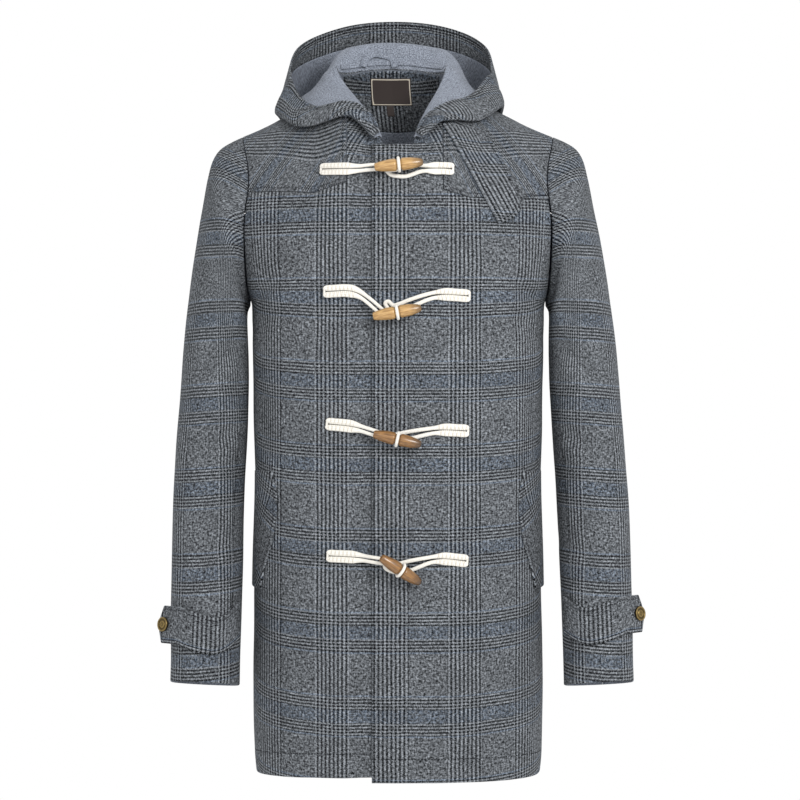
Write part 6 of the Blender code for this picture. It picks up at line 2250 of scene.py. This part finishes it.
def welt_panel(hand: Hand) -> Panel:
    """A slanted pocket welt near the side seam, whose check slants with it."""
    front, back = columns(sorted(WELT), "z", "front", "back")
    z = blend(WELT[0].z, WELT[-1].z, spaced(WELT_TALL))[:, None]
    turn = blend(front(z), back(z), spaced(WELT_WIDE))
    turn = turn if hand is Hand.LEFT else 180 - turn
    places = TORSO.around(turn, np.broadcast_to(z, turn.shape), IN_FRONT)
    out = lengths_along(places, 1)
    up = places[..., 2]
    cosine, sine = math.cos(WELT_SLANT), math.sin(WELT_SLANT)
    made = Panel(
        name=f"pocket_welt_{hand.word}_cloth",
        places=places,
        away=away_from(places, COAT_MIDDLE),
        cut=np.stack((out * cosine + up * sine, up * cosine - out * sine), axis=-1),
        thick=WELT_THICK,
        lift=WELT_CLEAR + WELT_THICK,
    )
    return made.topstitched(WELT_STITCH, Rim.FIRST_COLUMN)


@dataclass(frozen=True)
class Cuff:
    """A cuff tab round the front of the sleeve, with its free end and its button."""

    hand: Hand
    rings: tuple[float, float, float]  # ring numbers at its start, middle and end
    half_height: float = 24.0
    inner_turn: float = 158.0
    leaves_turn: float = 52.0
    wrapped: float = 120.0  # length on the sleeve, which sets how many columns it has
    free: float = 40.0  # length of its end that stands clear of the sleeve
    square: float = 20.0  # of that, what runs straight before the point
    tip: float = 9.0  # how far its point reaches past its corners
    button_from_tip: float = 14.0
    stitch: float = 5.0
    shift: float = 0.03  # metres that its check is moved along it
    profile: tuple[tuple[float, float], ...] = (
        (0.0, 0.01),
        (0.0, 7.5),
        (1.0, 9.1),
        (2.2, 9.5),
        (3.6, 9.3),
        (4.3, 8.5),
        (4.2, 7.7),
        (3.3, 7.0),
        (3.2, 5.4),
        (3.9, 4.7),
        (4.3, 3.8),
        (3.8, 2.9),
        (3.5, 1.9),
        (4.0, 1.0),
        (4.1, 0.01),
    )

    def line(self) -> tuple[np.ndarray, np.ndarray, np.ndarray, np.ndarray]:
        """Places, normals and ways along the tab's middle, and the length left free."""
        rings = Curve((0.0, 0.5, 1.0), self.rings)
        t = spaced(self.wrapped)
        turn = blend(self.inner_turn, self.leaves_turn, t)
        places = ARM.place(self.hand, turn, rings(t))
        away = ARM.away(self.hand, turn, rings(t))
        way = unit(ARM.place(self.hand, turn - 1, rings(t)) - places)
        free = spaced(self.free, 3.0)[1:, None] * self.free * MM
        places = np.concatenate((places, places[-1] + way[-1] * free))
        away, way = (
            np.concatenate((line, np.repeat(line[-1:], len(free), axis=0))) for line in (away, way)
        )
        return places, away, way, np.concatenate((np.zeros(len(t)), free[:, 0] / MM))

    def panel(self) -> Panel:
        """Lay the tab."""
        places, away, way, free = self.line()
        drop = unit(np.cross(away, way))
        drop = drop * np.where(drop[:, 2:] > 0, -1.0, 1.0)
        s = blend(-1.0, 1.0, spaced(2 * self.half_height, FINE_GRID))[:, None]
        pointed = np.clip((free - self.square) / (self.free - self.square), 0.0, 1.0)
        back = -self.tip * np.abs(s) * pointed
        grid = places + drop * (s * self.half_height * MM)[..., None]
        grid = grid + way * (back * MM)[..., None]
        run = lengths_along(grid, 1)
        cut = np.stack(np.broadcast_arrays(run + self.shift, -s * self.half_height * MM), axis=-1)
        made = Panel(
            name=f"cuff_tab_{self.hand.word}_cloth",
            places=grid,
            away=np.broadcast_to(away, grid.shape).copy(),
            cut=cut,
            thick=DOUBLED_CLOTH,
            lift=SEAM + DOUBLED_CLOTH,
        )
        return made.topstitched(self.stitch, *ALL_RIMS)

    def button(self, brass: bpy.types.Material) -> bpy.types.Object:
        """Make the button on its free end."""
        places, away, way, _ = self.line()
        seat = places[-1] - way[-1] * self.button_from_tip * MM
        seat = seat + away[-1] * (2 * SEAM + DOUBLED_CLOTH) * MM
        return add_turned(f"brass_button_{self.hand.word}", self.profile, seat, away[-1], brass)


CUFFS = (
    Cuff(hand=Hand.RIGHT, rings=(12.15, 12.45, 12.35)),
    Cuff(hand=Hand.LEFT, rings=(12.05, 12.30, 12.20)),
)


# ------------------------------------------------------------------ toggles and cords


class Closure(NamedTuple):
    """One toggle with its cords: places on the front, as x and z."""

    toggle: tuple[float, float]
    tilt: float  # degrees, end at +X up
    yaw: float  # degrees, end at -X towards the viewer
    clear: float  # height of its axis above the cloth
    left_pad: tuple[float, float, float, float]  # outer x, z and inner x, z
    right_pad: tuple[float, float, float, float]
    loop_tip: tuple[float, float]  # the loop's closed end, under the toggle
    loop_spread: float  # half distance between its two strands at the toggle


CLOSURES = (
    Closure(
        toggle=(0.6, -93),
        tilt=6,
        yaw=0,
        clear=18.6,
        left_pad=(-96.6, -91, -59, -92),
        right_pad=(69, -92, 50, -91.5),
        loop_tip=(-14, -92),
        loop_spread=10.0,
    ),
    Closure(
        toggle=(-0.9, -273),
        tilt=10,
        yaw=0,
        clear=18.6,
        left_pad=(-92, -246.5, -52.7, -248),
        right_pad=(89.7, -252, 46, -251.5),
        loop_tip=(-13, -262),
        loop_spread=4.5,
    ),
    Closure(
        toggle=(-0.6, -431.5),
        tilt=-12.5,
        yaw=0,
        clear=18.6,
        left_pad=(-89, -413, -54, -417),
        right_pad=(88, -422, 49, -421),
        loop_tip=(-14, -428),
        loop_spread=4.5,
    ),
    Closure(
        toggle=(3.7, -596),
        tilt=-34,
        yaw=14,
        clear=20.5,
        left_pad=(-88, -579.5, -51.5, -581),
        right_pad=(87, -586, 48, -583),
        loop_tip=(-14, -592),
        loop_spread=6.0,
    ),
)
LIGHT_TOGGLES = 2  # the upper ones are of lighter wood
NEARBY = 0.02  # share of a line over which its way is taken
CORD_STEPS = 7  # smooth places between two knots of a cord


def off_front(x, z, lift) -> tuple[np.ndarray, np.ndarray]:
    """Places above the lapping front, and the normals there."""
    x, z, lift = np.broadcast_arrays(*(np.asarray(part, float) for part in (x, z, lift)))
    along = TORSO.at(x + 0.5, z, IN_FRONT) - TORSO.at(x - 0.5, z, IN_FRONT)
    over = TORSO.at(x, z + 0.5, IN_FRONT) - TORSO.at(x, z - 0.5, IN_FRONT)
    up = unit(np.cross(along, over))
    return TORSO.at(x, z, IN_FRONT) + up * lift[..., None] * MM, up


def line_over_front(knots) -> np.ndarray:
    """Smooth line through places on the front, given as x and z."""
    return smooth_through(np.array([(x, 0.0, z) for x, z in knots]), LINE_STEPS)


class Strand(NamedTuple):
    """A run of cord: its places, the ways up from the cloth, and its half sizes in mm."""

    places: np.ndarray
    ups: np.ndarray
    halves: np.ndarray

    def turned(self) -> Strand:
        """The same run from its other end."""
        return Strand(*(part[::-1] for part in self))

    @staticmethod
    def joined(*runs: Strand) -> Strand:
        """Several runs as one."""
        return Strand(*(np.concatenate(parts) for parts in zip(*runs)))


@dataclass(frozen=True)
class Fastening:
    """One toggle, the cord that holds it and the loop that it goes through."""

    number: int
    row: Closure
    groove: float = 6.2
    body: float = 7.9  # the toggle's radius beside its groove
    pad: tuple[float, float] = (3.9, 2.1)  # half width and height of a stitched strand
    pad_spread: float = 4.1  # of the two strands from their middle line
    cord: float = 2.5
    wrap: float = 1.9  # radius of the cord that holds the toggle
    wrap_spread: float = 3.2
    sewn_half: float = 1.6  # of a strand where it goes into the cloth
    sewn_spread: float = 2.0
    tip_reach: float = 2.6  # how far the loop's bend reaches past its line
    leaves: float = 15.0  # from the toggle's middle to where its cord leaves the cloth
    along: tuple[float, float, float] = (13.0, 8.0, 4.2)  # and its places from there on
    shares: tuple[float, ...] = (0.0, 0.025, 0.14, 0.28, 0.4, 0.5, 0.6, 0.72, 0.84, 0.93)
    arch: tuple[float, ...] = (-66, -36, -4, 28, 59, 90, 121, 152, 184, 216, 246)
    profile: tuple[tuple[float, float], ...] = (
        (-24.5, 0.01),
        (-24.6, 1.7),
        (-30.2, 1.9),
        (-30.6, 2.5),
        (-30.5, 3.7),
        (-29.9, 4.6),
        (-27.0, 5.35),
        (-22.0, 6.4),
        (-16.5, 7.2),
        (-11.0, 7.7),
        (-5.6, 7.95),
        (-4.1, 7.8),
        (-3.3, 7.0),
        (-2.9, 6.2),
        (2.9, 6.2),
        (3.3, 7.0),
        (4.1, 7.8),
        (5.6, 7.95),
        (11.0, 7.7),
        (16.5, 7.15),
        (22.0, 6.3),
        (26.5, 5.2),
        (29.0, 4.3),
        (30.2, 3.3),
        (30.7, 2.0),
        (30.8, 0.01),
    )

    def place(self) -> tuple[np.ndarray, np.ndarray]:
        """The toggle's middle and its axis, from the end at -X."""
        centre, _ = off_front(*self.row.toggle, self.row.clear)
        tilt, yaw = math.radians(self.row.tilt), math.radians(self.row.yaw)
        flat = math.cos(yaw)
        axis = np.array((math.cos(tilt) * flat, math.sin(yaw), math.sin(tilt) * flat))
        return centre, unit(axis)

    def thickness(self, marks, middle: float, end: float) -> tuple[Curve, Curve]:
        """Half the width and half the height of a strand, from its sewn end on."""
        width, height = self.pad
        wide = Curve(marks, (self.sewn_half, width - 0.2, width, middle, end))
        return wide, Curve(marks, (self.sewn_half, height, height, middle, end))

    def strands(
        self, line: np.ndarray, shares, spread: Curve, wide: Curve, flat: Curve, rise: Curve | None
    ) -> tuple[Strand, Strand]:
        """Two strands of cord either side of a line on the cloth.

        Args:
            line: x, 0 and z of the line.
            shares: places along it.
            spread: how far each strand is from it.
            wide: half the strand's width.
            flat: half its height.
            rise: how far it stands clear of the cloth.

        Returns:
            The upper and the lower strand, both from the line's start.
        """
        shares = np.asarray(shares, float)
        middle = picked(line, shares)
        ahead, behind = (picked(line, np.clip(shares + s, 0, 1)) for s in (NEARBY, -NEARBY))
        way = ahead - behind
        aside = unit(np.stack((-way[:, 2], 0 * way[:, 0], way[:, 0]), axis=-1))
        aside = aside * np.where(aside[:, 2:] < 0, -1.0, 1.0) * spread(shares)[:, None]
        lift = SEAM + flat(shares) + (rise(shares) if rise else 0.0)
        ups = off_front(middle[:, 0], middle[:, 2], 0.0)[1]
        halves = np.stack((wide(shares), flat(shares)), axis=-1)
        runs = []
        for at in (middle + aside, middle - aside):
            runs.append(Strand(off_front(at[:, 0], at[:, 2], lift)[0], ups, halves))
        return runs[0], runs[1]

    def swept(self, name: str, ring: Strand, pad, finish) -> bpy.types.Object:
        """Make the cord through a ring of places."""
        outer_x, outer_z, inner_x, inner_z = pad
        start, inner = off_front(outer_x, outer_z, 2.0)[0], off_front(inner_x, inner_z, 2.0)[0]
        fine = [smooth_through(part, CORD_STEPS) for part in ring]
        length = float(np.linalg.norm(inner - start))
        pad_end = Pad(start, (inner - start) / length, length)
        return add_swept(name, fine[0], fine[1], fine[2] * MM, pad_end, finish)

    def loop(self, finish: bpy.types.Material) -> bpy.types.Object:
        """The loop at +X: stitched at its outer end and open at the toggle."""
        row = self.row
        outer_x, outer_z, inner_x, inner_z = row.right_pad
        x, z = row.toggle
        tip_x, tip_z = row.loop_tip
        knots = ((outer_x, outer_z), (inner_x, inner_z), (x, (tip_z + z) / 2), (tip_x, tip_z))
        line = line_over_front(knots)
        spread = Curve(
            (0.0, 0.025, 0.28, 0.42, 0.75, 0.94, 1.0),
            (
                self.sewn_spread,
                self.pad_spread,
                self.pad_spread,
                3.3,
                row.loop_spread,
                row.loop_spread * 0.75,
                3.0,
            ),
        )
        wide, flat = self.thickness((0.0, 0.025, 0.28, 0.42, 1.0), self.cord, self.cord)
        there, back = self.strands(line, (*self.shares, 1.0), spread, wide, flat, None)
        end = line[-1] + unit(line[-1] - line[-2]) * self.tip_reach
        tip, up = off_front(end[0], end[2], SEAM + self.cord)
        bend = Strand(tip[None], up[None], np.full((1, 2), self.cord))
        ring = Strand.joined(there, bend, back.turned())
        return self.swept(f"loop_{self.number}_of_cotton", ring, row.right_pad, finish)

    def holder(self, finish: bpy.types.Material) -> bpy.types.Object:
        """The cord at -X: stitched at its outer end, and round the toggle's groove."""
        row = self.row
        centre, axis = self.place()
        outer_x, outer_z, inner_x, inner_z = row.left_pad
        across = unit(np.cross(axis, off_front(*row.toggle, 0.0)[1]))
        across = across if across[2] > 0 else -across
        up = unit(np.cross(axis, across))
        up = up if up[1] < 0 else -up
        below = self.body + self.wrap + 2 * SEAM
        near = (centre - axis * self.leaves * MM - up * below * MM) / MM
        knots = ((outer_x, outer_z), (inner_x, inner_z), (near[0], near[2]))
        line = line_over_front(knots)
        high = row.clear - below - SEAM - self.wrap + math.sin(math.radians(row.yaw)) * self.leaves
        marks, thick = (0.0, 0.03, 0.4, 0.58, 1.0), self.wrap + 0.5
        spreads = (self.sewn_spread, self.pad_spread, self.pad_spread, 3.0, self.wrap_spread)
        spread = Curve(marks, spreads)
        wide, flat = self.thickness(marks, thick, self.wrap)
        rise = Curve((0.0, 0.5, 0.85, 1.0), (0.0, 0.0, high, high))
        there, back = self.strands(line, self.shares, spread, wide, flat, rise)
        runs = []
        for strand, sign in ((there, 1), (back, -1)):
            steps = np.array(self.along)[:, None] * MM
            at = centre - axis * steps + across * sign * self.wrap_spread * MM - up * below * MM
            thin = np.full((3, 2), self.wrap)
            runs.append(Strand.joined(strand, Strand(at, np.repeat(up[None], 3, axis=0), thin)))
        angle = np.radians(self.arch)[:, None]
        spokes = across * np.cos(angle) + up * np.sin(angle)
        girth = self.groove + self.wrap + SEAM
        arch = Strand(centre + spokes * girth * MM, -spokes, np.full((len(angle), 2), self.wrap))
        ring = Strand.joined(runs[0], arch, runs[1].turned())
        return self.swept(f"holder_{self.number}_of_cotton", ring, row.left_pad, finish)

    def toggle(self, wood: bpy.types.Material) -> bpy.types.Object:
        """The toggle, with a drilled hole in its end at -X."""
        centre, axis = self.place()
        return add_turned(f"wooden_toggle_{self.number}", self.profile, centre, axis, wood)


# ------------------------------------------------------------------ the coat and the studio


def build_coat(finish: Finishes) -> None:
    """Put every piece of the coat on its frame."""
    wool, lining = finish.wool, finish.lining
    for front in FRONTS:
        cloth(front.panel(), wool, lining, Slot.WOOL)
    cloth(back_panel(), wool, lining, Slot.WOOL)
    cloth(yoke_panel(), wool, lining, Slot.WOOL)
    for hand in Hand:
        for panel in sleeve_panels(hand):
            cloth(panel, wool, lining, Slot.WOOL)
        cloth(welt_panel(hand), wool, lining, Slot.WOOL)
    hood = Hood()
    for panel in hood_panels(hood):
        cloth(panel, wool, wool, Slot.WOOL)
    inside, facing = hood_inside(hood)
    cloth(inside, lining, lining, Slot.LINING)
    cloth(facing, wool, wool, Slot.WOOL)
    neck = NeckInside()
    parts = neck.panels()
    cloth(parts["facing"], wool, wool, Slot.WOOL)
    cloth(parts["lining"], lining, lining, Slot.LINING)
    cloth(parts["label"], finish.label, finish.label, Slot.LABEL)
    cloth(parts["tab"], finish.label, finish.label, Slot.LABEL)
    dressed(add_panel(neck.loop(hood), lining, lining), Slot.LINING, "hang_loop")
    cloth(neck.band(hood), lining, lining, Slot.LINING)
    cloth(Strap().panel(), wool, wool, Slot.WOOL)
    for cuff in CUFFS:
        cloth(cuff.panel(), wool, wool, Slot.WOOL)
        dressed(cuff.button(finish.brass), Slot.BRASS, f"cuff_button_{cuff.hand.word}")
    for number, row in enumerate(CLOSURES, 1):
        light = number <= LIGHT_TOGGLES
        wood = finish.light_wood if light else finish.dark_wood
        slot = Slot.LIGHT_WOOD if light else Slot.DARK_WOOD
        fastening = Fastening(number, row)
        dressed(fastening.toggle(wood), slot, f"toggle_{number}")
        dressed(fastening.holder(finish.cord), Slot.CORD, f"toggle_cord_{number}")
        dressed(fastening.loop(finish.cord), Slot.CORD, f"loop_cord_{number}")


@dataclass(frozen=True)
class SoftLight:
    """A wide panel of light that points at the coat's middle. Sizes are in metres."""

    name: str
    place: tuple[float, float, float]
    size: float
    power: float


@dataclass(frozen=True)
class Studio:
    """A white room with a pale floor, wide soft lights and the photograph's camera."""

    target: tuple[float, float, float] = (0.0, 0.0, -0.4)
    floor_z: float = -1.5
    floor_size: float = 5.0
    room: float = 1.0  # strength of the white light from all round
    camera_place: tuple[float, float, float] = (0.0027, -2.5, -0.383)
    sensor: float = 36.0
    lens: float = 84.6
    lights: tuple[SoftLight, ...] = (
        SoftLight("key_panel", place=(0.8, -1.7, 0.3), size=0.5, power=21.0),
        SoftLight("fill_panel", place=(-0.7, -2.3, 0.1), size=1.2, power=5.0),
    )

    def build(self) -> None:
        """Make the floor, the lights, the white room and the camera."""
        mesh = bmesh.new()
        bmesh.ops.create_grid(mesh, x_segments=1, y_segments=1, size=self.floor_size / 2)
        data = bpy.data.meshes.new("paper_floor")
        mesh.to_mesh(data)
        mesh.free()
        floor = add_object(data, StudioPaper().make())
        floor.location.z = self.floor_z
        for light in self.lights:
            lamp = bpy.data.lights.new(light.name, "AREA")
            lamp.shape, lamp.size, lamp.energy = "DISK", light.size, light.power
            made = bpy.data.objects.new(light.name, lamp)
            made.location = light.place
            way = Vector(self.target) - Vector(light.place)
            made.rotation_euler = way.to_track_quat("-Z", "Y").to_euler()
            bpy.context.scene.collection.objects.link(made)
        world = bpy.data.worlds.new("white_room")
        world.use_nodes = True
        sky = world.node_tree.nodes["Background"]
        sky.inputs["Color"].default_value = (1.0, 1.0, 1.0, 1.0)
        sky.inputs["Strength"].default_value = self.room
        scene = bpy.context.scene
        scene.world = world
        scene.view_settings.view_transform = "Standard"
        lens = bpy.data.cameras.new("camera")
        lens.sensor_width, lens.lens = self.sensor, self.lens
        camera = bpy.data.objects.new("camera", lens)
        camera.location = self.camera_place
        camera.rotation_euler = (math.pi / 2, 0.0, 0.0)
        scene.collection.objects.link(camera)
        scene.camera = camera


def main() -> None:
    """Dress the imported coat."""
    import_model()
    build_coat(Finishes())
    Studio().build()


if __name__ == "__main__":
    logging.basicConfig(level=logging.INFO)
    main()
